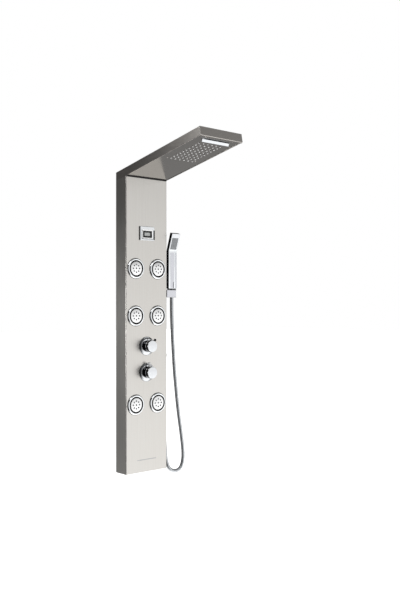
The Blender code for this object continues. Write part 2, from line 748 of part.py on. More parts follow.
# ------------------------------------------------------------------ pipes
mixer_z = height(MIXER_HEIGHT)
diverter_z = height(DIVERTER_HEIGHT)
side = VALVE_HALF[0] + GAP
pipe(
    "link_pipe",
    [(0, -0.040, mixer_z - VALVE_HALF[1] - GAP), (0, -0.040, diverter_z + VALVE_HALF[1] + GAP)],
    0.01,
    "brass",
)
for name, sign in (("inlet_hot", -1), ("inlet_cold", 1)):
    corners = [
        (sign * side, -0.033, mixer_z),
        (sign * INLET_X, -0.033, mixer_z),
        (sign * INLET_X, -0.001, mixer_z),
    ]
    pipe(name, corners, 0.008, "brass")
rain_back = RAIN_PIPE_BACK
pipe(
    "rain_pipe",
    [
        (-side, -rain_back, diverter_z),
        (RAIN_PIPE_X, -rain_back, diverter_z),
        in_head(rain_back / math.cos(HEAD_SLOPE), RAIN_PIPE_X, PIPE_DEPTH),
        in_head(0.180, RAIN_ENTRY_X, PIPE_DEPTH),
        in_head(chamber_start - GAP, RAIN_ENTRY_X, PIPE_DEPTH),
    ],
    0.014,
    "white_plastic",
)
pipe(
    "waterfall_pipe",
    [
        (0, -VALVE_BACK + GAP, diverter_z),
        (0, -PIPE_BACK, diverter_z),
        in_head(PIPE_BACK / math.cos(HEAD_SLOPE), 0, PIPE_DEPTH),
        in_head(0.180, 0.084, PIPE_DEPTH),
        in_head(SLOT_CENTRE, 0.084, PIPE_DEPTH),
        in_head(SLOT_CENTRE, spout_half + 0.003 + GAP, PIPE_DEPTH),
    ],
    0.0085,
    "white_plastic",
)
pipe(
    "outlet_pipe",
    [
        (side, -OUTLET_BACK, diverter_z),
        (0.074, -OUTLET_BACK, diverter_z),
        (0.074, -OUTLET_BACK, outlet_z),
        (half - SHEET - 0.0032, -OUTLET_BACK, outlet_z),
    ],
    0.010,
    "brass",
)

low_jet = height(JET_HEIGHTS[2])
high_jet = height(JET_HEIGHTS[0])
cross_z = height(CROSS_HEIGHT)


def ladder(extra):
    """The manifold's straight runs, each longer by extra at its open end."""
    runs = [((-JET_OFFSET, -PIPE_BACK, cross_z), (JET_OFFSET, -PIPE_BACK, cross_z))]
    for sign in (-1, 1):
        riser_x = sign * JET_OFFSET
        runs.append(((riser_x, -PIPE_BACK, low_jet - 0.008), (riser_x, -PIPE_BACK, high_jet + 0.008)))
    for x, up in jets:
        runs.append(((x, -PIPE_BACK, height(up)), (x, -DEPTH - inlet_back + GAP - extra, height(up))))
    runs.append(((0, -PIPE_BACK, cross_z), (0, -0.040, cross_z)))
    runs.append(((0, -0.040, cross_z - 0.0055), (0, -0.040, diverter_z - VALVE_HALF[1] - GAP + extra)))
    return runs


radii = [0.0055, 0.006, 0.006] + [0.005] * 6 + [0.0052, 0.0058]
manifold = None
for i, (run, radius) in enumerate(zip(ladder(0), radii)):
    if manifold is None:
        manifold = rods("jet_manifold", [run], radius, "white_plastic", 10, parts)
    else:
        boolean(manifold, rods(f"manifold_run_{i}", [run], radius, "white_plastic", 10), "UNION")
for i, (run, radius) in enumerate(zip(ladder(0.002), radii)):
    start, stop = (Vector(point) for point in run)
    inset = (stop - start).normalized() * (0.0015 if i < 3 else 0.0)
    bore_ends = (start + inset, stop - inset)
    boolean(manifold, rods(f"manifold_bore_{i}", [bore_ends], radius - 0.0013, "white_plastic", 8))

# ------------------------------------------------------------------ outlet, holder, handset
elbow = rods(
    "outlet_elbow",
    [((half + GAP, -OUTLET_BACK, outlet_z), (half + 0.004, -OUTLET_BACK, outlet_z))],
    0.016,
    "chrome",
    24,
    parts,
)
shank = rods(
    "elbow_shank",
    [((half - SHEET - 0.0030, -OUTLET_BACK, outlet_z), (OUTLET_DROP_X, -OUTLET_BACK, outlet_z))],
    0.0082,
    "chrome",
    16,
)
boolean(elbow, shank, "UNION")
drop = rods(
    "elbow_drop",
    [((OUTLET_DROP_X, -OUTLET_BACK, outlet_z + 0.0095), (OUTLET_DROP_X, -OUTLET_BACK, outlet_z - 0.016))],
    0.0094,
    "chrome",
    16,
)
boolean(elbow, drop, "UNION")
way_in = rods(
    "elbow_bore_in",
    [((half - 0.02, -OUTLET_BACK, outlet_z), (OUTLET_DROP_X, -OUTLET_BACK, outlet_z))],
    0.0045,
    "chrome",
    10,
)
boolean(elbow, way_in)
way_out = rods(
    "elbow_bore_out",
    [((OUTLET_DROP_X, -OUTLET_BACK, outlet_z + 0.001), (OUTLET_DROP_X, -OUTLET_BACK, outlet_z - 0.03))],
    0.0047,
    "chrome",
    10,
)
boolean(elbow, way_out)

low_nut = [(0.0100, 0.0), (0.0105, -0.003), (0.0088, -0.0165), (0.0050, -0.0165), (0.0050, 0.0)]
nut_place = Matrix.Translation((OUTLET_DROP_X, -OUTLET_BACK, outlet_z - 0.016 - GAP))
turned("hose_nut_lower", low_nut, nut_place, "chrome", 20)

holder_low = (half + GAP, -HANDSET_BACK - 0.0125, height(HOLDER_BOTTOM))
holder_high = (half + HOLDER_REACH, -HANDSET_BACK + 0.0125, height(HOLDER_TOP))
holder = bevel(block("handset_holder", holder_low, holder_high, "chrome"), 0.0015, 1)
holder_height = HOLDER_TOP - HOLDER_BOTTOM
cone = turned(
    "holder_cone",
    [(0, 0.001), (0.01105, 0.001), (0.0088, -holder_height - 0.001), (0, -holder_height - 0.001)],
    Matrix.Translation((HANDSET_X, -HANDSET_BACK, height(HOLDER_TOP))),
    "chrome",
    20,
    cutters,
)
boolean(holder, cone)
slot_box = (
    (HANDSET_X - 0.0080, -HANDSET_BACK, height(HOLDER_BOTTOM) - 0.01),
    (HANDSET_X + 0.0080, -HANDSET_BACK + 0.03, height(HOLDER_TOP) + 0.01),
)
boolean(holder, block("holder_slot", *slot_box, "chrome", cutters))

half_thick = HANDSET_THICKNESS / 2
mitre = half_thick * math.tan(HANDSET_LEAN / 2)
lean = Vector((0, -math.sin(HANDSET_LEAN), math.cos(HANDSET_LEAN)))
square = Vector((0, math.cos(HANDSET_LEAN), math.sin(HANDSET_LEAN)))
bend_point = Vector((0, -HANDSET_BACK, height(HANDSET_BEND)))
top = bend_point + lean * HANDSET_HEAD_LENGTH
back_top = top + square * half_thick
front_top = top - square * half_thick
stick = [
    (-HANDSET_BACK + half_thick, height(HANDSET_FOOT)),
    (-HANDSET_BACK + half_thick, height(HANDSET_BEND) + mitre),
    (back_top.y, back_top.z),
    (front_top.y, front_top.z),
    (-HANDSET_BACK - half_thick, height(HANDSET_BEND) - mitre),
    (-HANDSET_BACK - half_thick, height(HANDSET_FOOT)),
]
hand_low = HANDSET_X - HANDSET_WIDTH / 2
hand_high = HANDSET_X + HANDSET_WIDTH / 2
handset = bevel(prism("handset_body", stick, "X", hand_low, hand_high, "chrome"), 0.0012, 2)
foot_z = height(HANDSET_FOOT)
stem_ends = ((HANDSET_X, -HANDSET_BACK, foot_z + 0.004), (HANDSET_X, -HANDSET_BACK, foot_z - 0.010))
stem = rods("handset_stem", [stem_ends], 0.0055, "chrome", 12)
boolean(handset, stem, "UNION")
face_spot = bend_point + Vector((HANDSET_X, 0, 0))
face_place = Matrix.Translation(face_spot) @ Matrix.Rotation(HANDSET_LEAN, 4, "X")
spray_x = SPRAY_SIZE[0] / 2
spray_low = 0.0085
spray_high = spray_low + SPRAY_SIZE[1]
pocket = block(
    "spray_pocket",
    (-spray_x - GAP, -half_thick - 0.01, spray_low - GAP),
    (spray_x + GAP, -half_thick + 0.003, spray_high + GAP),
    "chrome",
    cutters,
)
pocket.matrix_world = face_place
boolean(handset, pocket)
spray = block(
    "handset_face",
    (-spray_x, -half_thick - 0.0008, spray_low),
    (spray_x, -half_thick + 0.003 - GAP, spray_high),
    "grey_face",
)
spray.matrix_world = face_place
bevel(spray, 0.0005, 1)

upper_nut = [(0.0098, 0.0), (0.0098, -0.003), (0.0082, -0.0310), (0.0058, -0.0310), (0.0058, 0.0)]
turned(
    "hose_nut_upper",
    upper_nut,
    Matrix.Translation((HANDSET_X, -HANDSET_BACK, height(HANDSET_FOOT) - GAP)),
    "chrome",
    20,
)

# ------------------------------------------------------------------ hose
# Middle of the hose: out from the column's side, out from the wall, and above the foot
HOSE_ROUTE = (
    (0.0350, 0.0545, 0.655),
    (0.0358, 0.0545, 0.610),
    (0.0385, 0.0545, 0.550),
    (0.0435, 0.0545, 0.470),
    (0.0500, 0.0540, 0.390),
    (0.0575, 0.0535, 0.325),
    (0.0660, 0.0525, 0.260),
    (0.0755, 0.0515, 0.200),
    (0.0860, 0.0500, 0.145),
    (0.0950, 0.0485, 0.095),
    (0.1010, 0.0470, 0.055),
    (0.1025, 0.0450, 0.020),
    (0.0940, 0.0430, -0.010),
    (0.0765, 0.0405, -0.0245),
    (0.0550, 0.0380, -0.0240),
    (0.0365, 0.0350, -0.0080),
    (0.0255, 0.0335, 0.020),
    (0.0195, 0.0325, 0.065),
    (0.0170, 0.0318, 0.130),
    (0.0155, 0.0312, 0.220),
    (0.0150, 0.0310, 0.320),
    (0.0150, 0.0310, 0.400),
)
HOSE_POINTS = 70


def smooth(points, count):
    """Evenly spaced points on a smooth curve through the route."""
    knots = [Vector(point) for point in points]
    knots = [knots[0] * 2 - knots[1]] + knots + [knots[-1] * 2 - knots[-2]]
    dense = []
    for a, b, c, d in zip(knots, knots[1:], knots[2:], knots[3:]):
        for i in range(24):
            t = i / 24
            bend = (a * 2 - b * 5 + c * 4 - d) * t**2
            twist = (b * 3 - a - c * 3 + d) * t**3
            dense.append((b * 2 + (c - a) * t + bend + twist) / 2)
    dense.append(knots[-2])
    lengths = [0.0]
    for a, b in zip(dense, dense[1:]):
        lengths.append(lengths[-1] + (b - a).length)
    chosen = []
    at = 0
    for i in range(count):
        wanted = lengths[-1] * i / (count - 1)
        while at < len(dense) - 2 and lengths[at + 1] < wanted:
            at += 1
        share = (wanted - lengths[at]) / (lengths[at + 1] - lengths[at])
        chosen.append(dense[at].lerp(dense[at + 1], share))
    return chosen


hose_route = [(half + out, -back, height(up)) for out, back, up in HOSE_ROUTE]
hose_route.insert(0, (HANDSET_X, -HANDSET_BACK, height(HANDSET_FOOT) - 0.031 - GAP * 2))
hose_route.append((OUTLET_DROP_X, -OUTLET_BACK, outlet_z - 0.0325 - GAP * 2))
tube("shower_hose", smooth(hose_route, HOSE_POINTS), HOSE_RADIUS, "hose_steel", 2, parts, True)

# ------------------------------------------------------------------ what moves together
for number, (x, up) in enumerate(jets, 1):
    ball_spot = (x, -DEPTH - ball_centre, height(up))
    pivot(f"jet_{number}_ball", ball_spot, (f"jet_face_{number}", f"jet_nozzles_{number}"))
for control, up, turn in controls:
    turning = (f"{control}_knob", f"{control}_pin", f"{control}_spindle")
    pivot(f"{control}_axis", (0, -DEPTH, height(up)), turning)
lifted = ("handset_body", "handset_face", "hose_nut_upper")
pivot("handset_seat", (HANDSET_X, -HANDSET_BACK, height(HOLDER_TOP)), lifted)
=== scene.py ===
import math

import bmesh
import bpy
from mathutils import Matrix, Vector


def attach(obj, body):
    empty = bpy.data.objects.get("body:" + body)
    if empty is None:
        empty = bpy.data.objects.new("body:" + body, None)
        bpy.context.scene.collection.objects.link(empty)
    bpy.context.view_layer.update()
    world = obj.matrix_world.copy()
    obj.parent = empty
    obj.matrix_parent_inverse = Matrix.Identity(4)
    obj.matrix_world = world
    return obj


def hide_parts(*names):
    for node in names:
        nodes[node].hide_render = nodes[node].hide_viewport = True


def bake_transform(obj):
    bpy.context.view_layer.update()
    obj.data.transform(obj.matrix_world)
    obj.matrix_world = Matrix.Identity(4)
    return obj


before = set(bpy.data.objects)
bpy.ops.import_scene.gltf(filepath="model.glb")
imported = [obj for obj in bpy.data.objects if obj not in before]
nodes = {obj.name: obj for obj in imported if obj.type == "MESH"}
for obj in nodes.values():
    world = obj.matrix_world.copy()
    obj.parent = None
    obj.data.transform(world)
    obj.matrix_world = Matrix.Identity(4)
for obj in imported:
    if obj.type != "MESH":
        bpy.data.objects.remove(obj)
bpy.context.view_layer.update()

foot = -1.020  # height of the column's foot; the wall is Y = 0 and the room is towards -Y

# the column's and the head's own sizes, in metres and radians
column = {"width": 0.200, "depth": 0.066, "sheet": 0.0015}
head = {"slope": math.radians(11.3), "top": 1.168, "reach": 0.4937, "rim": 0.031, "recess": 0.0007}
half = column["width"] / 2
front = -column["depth"]

# the camera stands to the column's left, at the height of its middle
view = {"place": (-1.8857, -2.5199, -0.368), "turn": 41.405, "focal": 47.27, "lift": 0.0084}
cameraData = bpy.data.cameras.new("studioCamera")
cameraData.lens = view["focal"]
cameraData.shift_y = view["lift"]
camera = bpy.data.objects.new("studioCamera", cameraData)
camera.location = view["place"]
camera.rotation_euler = (math.radians(90), 0, -math.radians(view["turn"]))
bpy.context.scene.collection.objects.link(camera)
bpy.context.scene.camera = camera
bpy.context.scene.view_settings.view_transform = "Standard"  # pale finishes stay pale


def hexToLinear(code):
    values = [int(code[i:i + 2], 16) / 255 for i in (1, 3, 5)]
    return tuple(v / 12.92 if v <= 0.04045 else ((v + 0.055) / 1.055) ** 2.4 for v in values) + (1.0,)


def addNode(tree, kind, settings=None, links=None):
    node = tree.nodes.new(kind)
    for key, value in (settings or {}).items():
        if isinstance(key, int) or key in node.inputs:
            node.inputs[key].default_value = value
        else:
            setattr(node, key, value)
    for key, source in (links or {}).items():
        tree.links.new(source, node.inputs[key])
    return node


mottle = {"detail": 3.0, "coarse": 0.6, "cloudShare": 0.5, "low": 0.45, "high": 1.05, "bumpDepth": 0.0002}


def surface(name, look):
    # a grained or mottled finish: stretched noise moves the colour, the roughness and the height together
    made = bpy.data.materials.new(name)
    made.use_nodes = True
    tree = made.node_tree
    shader = tree.nodes["Principled BSDF"]
    for key, value in look["shader"].items():
        shader.inputs[key].default_value = value
    point = addNode(tree, "ShaderNodeTexCoord").outputs["Object"]
    stretch = addNode(tree, "ShaderNodeMapping", {"Scale": look["grain"]}, {"Vector": point})
    noise = addNode(tree, "ShaderNodeTexNoise",
                    {"Scale": 1.0, "Detail": mottle["detail"], "Roughness": mottle["coarse"]},
                    {"Vector": stretch.outputs["Vector"]})
    cloud = addNode(tree, "ShaderNodeTexNoise", {"Scale": look["cloud"], "Detail": 2.0}, {"Vector": point})
    blend = addNode(tree, "ShaderNodeMath", {"operation": "MULTIPLY_ADD", 1: mottle["cloudShare"]},
                    {0: cloud.outputs["Fac"], 2: noise.outputs["Fac"]})
    tone = addNode(tree, "ShaderNodeValToRGB", {}, {"Fac": blend.outputs["Value"]})
    ends = mottle["low"], mottle["high"]
    for element, place, colour in zip(tone.color_ramp.elements, ends, look["colours"]):
        element.position = place
        element.color = hexToLinear(colour)
    tree.links.new(tone.outputs["Color"], shader.inputs["Base Color"])
    roughness = addNode(tree, "ShaderNodeMapRange",
                        {"From Min": ends[0], "From Max": ends[1], "To Min": look["roughness"][0],
                         "To Max": look["roughness"][1]}, {"Value": blend.outputs["Value"]})
    tree.links.new(roughness.outputs["Result"], shader.inputs["Roughness"])
    if "bump" in look:
        bump = addNode(tree, "ShaderNodeBump",
                       {"Strength": look["bump"], "Distance": look.get("depth", mottle["bumpDepth"])},
                       {"Height": noise.outputs["Fac"]})
        tree.links.new(bump.outputs["Normal"], shader.inputs["Normal"])
    return made


# 304 stainless sheet, belt brushed along its length: soft stretched highlights and fine lines.
# Real grit lines are 0.1 mm apart; they are drawn about 1 mm apart, since finer ones would not show.
columnSteel = surface("brushedStainlessColumn", {
    "colours": ("#C2BFBA", "#CFCDC9"), "roughness": (0.31, 0.40), "grain": (1100, 1100, 7), "cloud": 4.0,
    "bump": 0.05, "shader": {"Metallic": 1.0, "Anisotropic": 0.3}})
# the head's sheet is brushed the same way, and its length runs out from the wall
headSteel = surface("brushedStainlessHead", {
    "colours": ("#B3AFAA", "#C3BFBA"), "roughness": (0.31, 0.40), "grain": (1100, 7, 1100), "cloud": 4.0,
    "bump": 0.05, "shader": {"Metallic": 1.0, "Anisotropic": 0.3}})
# the same sheet where the press has rolled it: tighter highlights, and lines across the fold
hemSteel = surface("foldedStainlessHem", {
    "colours": ("#A9A5A0", "#BAB6B1"), "roughness": (0.24, 0.32), "grain": (40, 900, 900), "cloud": 4.0,
    "bump": 0.04, "shader": {"Metallic": 1.0}})
# the same sheet, polished with a fine wheel, so that it mirrors what is near it a little blurred; its colour
# is painted darker than the column's, as painted shade on the face that looks down
plateSteelShaded = surface("polishedStainlessShaded", {
    "colours": ("#8B8884", "#97938F"), "roughness": (0.12, 0.20), "grain": (60, 500, 60), "cloud": 8.0,
    "bump": 0.04, "shader": {"Metallic": 1.0}})
# electroplated chrome on brass or ABS: a cold mirror, with faint wipe marks in its gloss
chrome = surface("chromePlate", {
    "colours": ("#C6C9CC", "#D3D5D7"), "roughness": (0.03, 0.09), "grain": (90, 90, 30), "cloud": 22.0,
    "shader": {"Metallic": 1.0}})
# the same plating painted lighter: a painted highlight, for narrow rings that should read white against the
# brushed sheet
paintedLightChrome = surface("chromePaintedHighlight", {
    "colours": ("#DDE0E2", "#E9EBEC"), "roughness": (0.06, 0.12), "grain": (90, 90, 30), "cloud": 22.0,
    "shader": {"Metallic": 1.0}})
# chrome over a blasted surface: the same metal with a soft, slightly violet bloom
satinChrome = surface("satinChromePlate", {
    "colours": ("#BDBEC4", "#CBCCD1"), "roughness": (0.20, 0.30), "grain": (700, 700, 700), "cloud": 26.0,
    "bump": 0.05, "shader": {"Metallic": 1.0}})
# the same plating painted near black: painted dark reflections, with thin bright lines
paintedDarkChrome = surface("chromePaintedDarkReflection", {
    "colours": ("#191A1D", "#26272B"), "roughness": (0.06, 0.12), "grain": (90, 90, 30), "cloud": 22.0,
    "shader": {"Metallic": 1.0}})
# injection-moulded ABS: fine spark-eroded grain, a soft plastic gloss
whiteAbs = surface("mouldedWhiteAbs", {
    "colours": ("#F1F2F2", "#FBFBFB"), "roughness": (0.28, 0.38), "grain": (1400, 1400, 1400), "cloud": 30.0,
    "bump": 0.06, "shader": {"IOR": 1.53}})
# pearl-lacquered ABS: metal flakes under a clear coat make the white shine towards the light
pearlAbs = surface("pearlLacqueredAbs", {
    "colours": ("#F4F5F5", "#FCFCFC"), "roughness": (0.18, 0.26), "grain": (1400, 1400, 1400), "cloud": 30.0,
    "bump": 0.04, "shader": {"IOR": 1.53, "Metallic": 0.62, "Coat Weight": 0.4}})
# the same moulding in black: soft grey highlights. Under the handset's spray face it is painted shade
blackAbsAndShade = surface("mouldedBlackAbsAndShade", {
    "colours": ("#141415", "#1E1E20"), "roughness": (0.38, 0.50), "grain": (1400, 1400, 1400), "cloud": 30.0,
    "bump": 0.08, "shader": {"IOR": 1.53}})
# black rubber with nearly no gloss; mostly it is painted shade, laid in seams, gaps and round edges so that
# it reads as a shadow line
blackRubberAndShade = surface("mouldedEpdmAndShade", {
    "colours": ("#101011", "#1A1A1B"), "roughness": (0.60, 0.75), "grain": (900, 900, 900), "cloud": 40.0,
    "bump": 0.15, "shader": {"IOR": 1.52}})
# injection-moulded silicone, dyed grey: matt, and darker than the face round it
silicone = surface("mouldedSilicone", {
    "colours": ("#6C6F72", "#828588"), "roughness": (0.45, 0.58), "grain": (700, 700, 700), "cloud": 60.0,
    "bump": 0.05, "shader": {"IOR": 1.41}})
# the same rubber without dye: near white, with a soft wide highlight
paleSilicone = surface("mouldedClearSilicone", {
    "colours": ("#F0F0EF", "#F8F8F7"), "roughness": (0.40, 0.52), "grain": (700, 700, 700), "cloud": 60.0,
    "bump": 0.05, "shader": {"IOR": 1.41}})
# moulded ABS in mid grey, with a satin gloss
sprayAbs = surface("mouldedGreyAbs", {
    "colours": ("#9A9DA0", "#A9ADB0"), "roughness": (0.30, 0.42), "grain": (1200, 1200, 1200), "cloud": 30.0,
    "bump": 0.06, "shader": {"IOR": 1.53}})
# sand-cast brass, as it leaves the mould: dull yellow, pitted
castBrass = surface("sandCastBrass", {
    "colours": ("#9C7E42", "#C2A365"), "roughness": (0.38, 0.58), "grain": (420, 420, 420), "cloud": 25.0,
    "bump": 0.30, "depth": 0.0004, "shader": {"Metallic": 1.0}})
# drawn brass tube and bar: yellow, with bright lines along it
turnedBrass = surface("drawnBrassTube", {
    "colours": ("#B4934F", "#D2B574"), "roughness": (0.22, 0.34), "grain": (60, 60, 900), "cloud": 25.0,
    "bump": 0.06, "shader": {"Metallic": 1.0}})
# cross-linked polythene pipe, extruded: milky, with faint die lines along it
pexPipe = surface("extrudedPolythene", {
    "colours": ("#DCDCD6", "#EBEBE6"), "roughness": (0.32, 0.44), "grain": (700, 700, 25), "cloud": 15.0,
    "bump": 0.05, "shader": {"IOR": 1.50}})
# zinc-plated pressed steel: grey with a faint spangle
zincSteel = surface("zincPlatedSteel", {
    "colours": ("#8E9092", "#B2B4B6"), "roughness": (0.32, 0.48), "grain": (160, 160, 160), "cloud": 40.0,
    "bump": 0.08, "shader": {"Metallic": 1.0}})
# wound stainless strip over a rubber tube: bright ridges with dark roots
hoseSteel = surface("woundStainlessStrip", {
    "colours": ("#ABAEB1", "#C8CBCE"), "roughness": (0.22, 0.32), "grain": (500, 500, 120), "cloud": 30.0,
    "bump": 0.05, "shader": {"Metallic": 1.0}})
# liquid crystal panel behind an acrylic window: grey-green, with a hint of depth
lcdPanel = surface("lcdBehindAcrylic", {
    "colours": ("#A9ACAB", "#C3C6C4"), "roughness": (0.10, 0.16), "grain": (260, 260, 60), "cloud": 40.0,
    "shader": {"IOR": 1.49, "Coat Weight": 1.0, "Coat Roughness": 0.03}})
print("finishes made")


def settle(obj, body, slotName, *stoodFor):
    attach(obj, body)
    if stoodFor:
        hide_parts(*stoodFor)


sharpAngle, bevelAngle = math.radians(32), math.radians(40)


def newPiece(name, work, finishes, place=None, ease=0.0, steps=2):
    bmesh.ops.recalc_face_normals(work, faces=work.faces)
    data = bpy.data.meshes.new(name)
    work.to_mesh(data)
    work.free()
    for finish in finishes:
        data.materials.append(finish)
    data.shade_smooth()
    data.set_sharp_from_angle(angle=sharpAngle)
    obj = bpy.data.objects.new(name, data)
    bpy.context.scene.collection.objects.link(obj)
    if place is not None:
        obj.matrix_world = place
    if ease:
        edge = obj.modifiers.new("easedEdges", "BEVEL")
        edge.width = ease
        edge.segments = steps
        edge.limit_method = "ANGLE"
        edge.angle_limit = bevelAngle
        edge.use_clamp_overlap = True
    return obj


def addBox(work, low, high):
    low, high = Vector(low), Vector(high)
    stretched = Matrix.Translation((low + high) / 2) @ Matrix.Diagonal((*(high - low), 1))
    bmesh.ops.create_cube(work, size=1, matrix=stretched)


def addTurned(work, profile, sides, place=None, finishOf=None):
    # (radius, height) points spun about Z; a profile that starts and ends on the axis is closed there
    place = place or Matrix.Identity(4)
    rings = []
    for radius, up in profile:
        if radius < 1e-7:
            rings.append([work.verts.new(place @ Vector((0, 0, up)))])
            continue
        rings.append([
            work.verts.new(place @ Vector((radius * math.cos(a), radius * math.sin(a), up)))
            for a in (2 * math.pi * i / sides for i in range(sides))
        ])
    pairs = list(zip(range(len(rings)), range(1, len(rings))))
    if len(rings[0]) > 1 and len(rings[-1]) > 1:
        pairs.append((len(rings) - 1, 0))
    for a, b in pairs:
        for i in range(sides):
            j = (i + 1) % sides
            one, two = rings[a], rings[b]
            if len(one) == 1:
                corners = (one[0], two[i], two[j])
            elif len(two) == 1:
                corners = (one[i], two[0], one[j])
            else:
                corners = (one[i], two[i], two[j], one[j])
            face = work.faces.new(corners)
            face.material_index = finishOf[a] if finishOf else 0


def turnedPiece(name, profile, finishes, place, sides, finishOf=None):
    work = bmesh.new()
    addTurned(work, profile, sides, None, finishOf)
    return newPiece(name, work, finishes, place)


def facing(x, aboveFoot):
    # Z of the piece points into the room, measured from the column's front
    return Matrix.Translation((x, front, foot + aboveFoot)) @ Matrix.Rotation(math.radians(90), 4, "X")


headPlace = Matrix.Translation((0, 0, foot + head["top"])) @ Matrix.Rotation(-head["slope"], 4, "X")


def inHead(work, low, high):
    # low and high are (out along the head's top, across, below the top)
    addBox(work, (low[1], -high[0], -high[2]), (high[1], -low[0], -low[2]))


def under(out, across):
    # Z of what is turned here points down from the head's top
    return Matrix.Translation((across, -out, 0)) @ Matrix.Diagonal((1, 1, -1, 1))


def addPrism(work, outline, reach):
    # an outline of (out along the head's top, below the top), drawn across from -reach to +reach
    ends = [[work.verts.new((x, -out, -below)) for out, below in outline] for x in (-reach, reach)]
    for i in range(len(outline)):
        j = (i + 1) % len(outline)
        work.faces.new((ends[0][i], ends[0][j], ends[1][j], ends[1][i]))
    for ring in ends:
        work.faces.new(ring)


def shadedCopy(name, nodeName, finish, slotName, ease):
    # the same solid with its seams welded, rounded shading and eased edges
    work = bmesh.new()
    work.from_mesh(nodes[nodeName].data)
    bmesh.ops.remove_doubles(work, verts=work.verts, dist=0.00002)
    bmesh.ops.dissolve_limit(work, angle_limit=math.radians(0.5), verts=work.verts, edges=work.edges)
    for face in work.faces:
        face.material_index = 0
    settle(newPiece(name, work, [finish], None, ease), "column", slotName, nodeName)


def sweep(work, points, sides, radiusAt):
    # a closed tube along the points, its cross-section carried without twist
    before, after = points[:1] + points[:-1], points[1:] + points[-1:]
    tangents = [(b - a).normalized() for a, b in zip(before, after)]
    across = tangents[0].orthogonal().normalized()
    rings = []
    for i, (point, tangent) in enumerate(zip(points, tangents)):
        across = (across - tangent * across.dot(tangent)).normalized()
        other = tangent.cross(across)
        radius = radiusAt(i)
        rings.append([
            work.verts.new(point + (across * math.cos(a) + other * math.sin(a)) * radius)
            for a in (2 * math.pi * k / sides for k in range(sides))
        ])
    for one, two in zip(rings, rings[1:]):
        for i in range(sides):
            j = (i + 1) % sides
            work.faces.new((one[i], one[j], two[j], two[i]))
    work.faces.new(rings[0])
    work.faces.new(rings[-1])


# hose: 14 mm wound steel, from the handset's nut round a low loop and up to the outlet
hose = {
    "radius": 0.0070, "root": 0.00040, "pitch": 0.0042, "sides": 16,
    "ridge": (0.0, 0.25, 1.0, 0.25),  # how deep each of the four rings of a turn lies
    "x": half + 0.035, "y": -0.0545, "blendLow": 0.450, "blendHigh": 0.676,
    # out from the column's side, out from the wall, above the foot. The solid hose's straight pieces cut
    # across its bends, so the two lowest rows here lie 1.4 mm higher and the widest 0.2 mm nearer
    "route": (
        (0.0350, 0.0545, 0.6824), (0.0350, 0.0545, 0.655), (0.0358, 0.0545, 0.610), (0.0385, 0.0545, 0.550),
        (0.0435, 0.0545, 0.470), (0.0500, 0.0540, 0.390), (0.0575, 0.0535, 0.325), (0.0660, 0.0525, 0.260),
        (0.0755, 0.0515, 0.200), (0.0860, 0.0500, 0.145), (0.0950, 0.0485, 0.095), (0.1010, 0.0470, 0.055),
        (0.1023, 0.0450, 0.020), (0.0940, 0.0430, -0.010), (0.0765, 0.0405, -0.0231),
        (0.0550, 0.0380, -0.0226), (0.0365, 0.0350, -0.0080), (0.0255, 0.0335, 0.020),
        (0.0195, 0.0325, 0.065), (0.0170, 0.0318, 0.130), (0.0155, 0.0312, 0.220), (0.0150, 0.0310, 0.320),
        (0.0150, 0.0310, 0.400), (0.0150, 0.0310, 0.4369),
    ),
}


knotSteps = 24


def smoothLine(knots, step):
    # a curve through every knot, then points on it at even steps
    knots = [knots[0] * 2 - knots[1]] + knots + [knots[-1] * 2 - knots[-2]]
    dense = []
    for a, b, c, d in zip(knots, knots[1:], knots[2:], knots[3:]):
        for i in range(knotSteps):
            t = i / knotSteps
            curveIn = (a * 2 - b * 5 + c * 4 - d) * t**2
            curveOut = (b * 3 - a - c * 3 + d) * t**3
            dense.append((b * 2 + (c - a) * t + curveIn + curveOut) / 2)
    dense.append(knots[-2])
    lengths = [0.0]
    for a, b in zip(dense, dense[1:]):
        lengths.append(lengths[-1] + (b - a).length)
    count = round(lengths[-1] / step) + 1
    chosen, at = [], 0
    for i in range(count):
        wanted = lengths[-1] * i / (count - 1)
        while at < len(dense) - 2 and lengths[at + 1] < wanted:
            at += 1
        share = (wanted - lengths[at]) / (lengths[at + 1] - lengths[at])
        chosen.append(dense[at].lerp(dense[at + 1], share))
    return chosen, lengths[-1]


hoseKnots = [Vector((half + x, -y, foot + z)) for x, y, z in hose["route"]]
hoseLine, hoseLength = smoothLine(hoseKnots, hose["pitch"] / len(hose["ridge"]))
work = bmesh.new()
sweep(work, hoseLine, hose["sides"],
      lambda i: hose["radius"] - hose["root"] * hose["ridge"][i % len(hose["ridge"])])
showerHose = newPiece("showerHose", work, [hoseSteel])
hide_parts("shower_hose")
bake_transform(showerHose)
print("hose laid,", round(hoseLength, 3), "m")

# sheet metal: the folded column and head keep their shape and take the brushed finish
for nodeName, finish in {
    "column_shell": columnSteel, "head_shell": headSteel, "head_bracket": zincSteel,
    "wall_bracket_upper": zincSteel, "wall_bracket_lower": zincSteel, "rain_chamber": whiteAbs,
    "display_module": blackAbsAndShade, "mixer_spindle": turnedBrass, "diverter_spindle": turnedBrass,
}.items():
    for materialSlot in nodes[nodeName].material_slots:
        materialSlot.material = finish

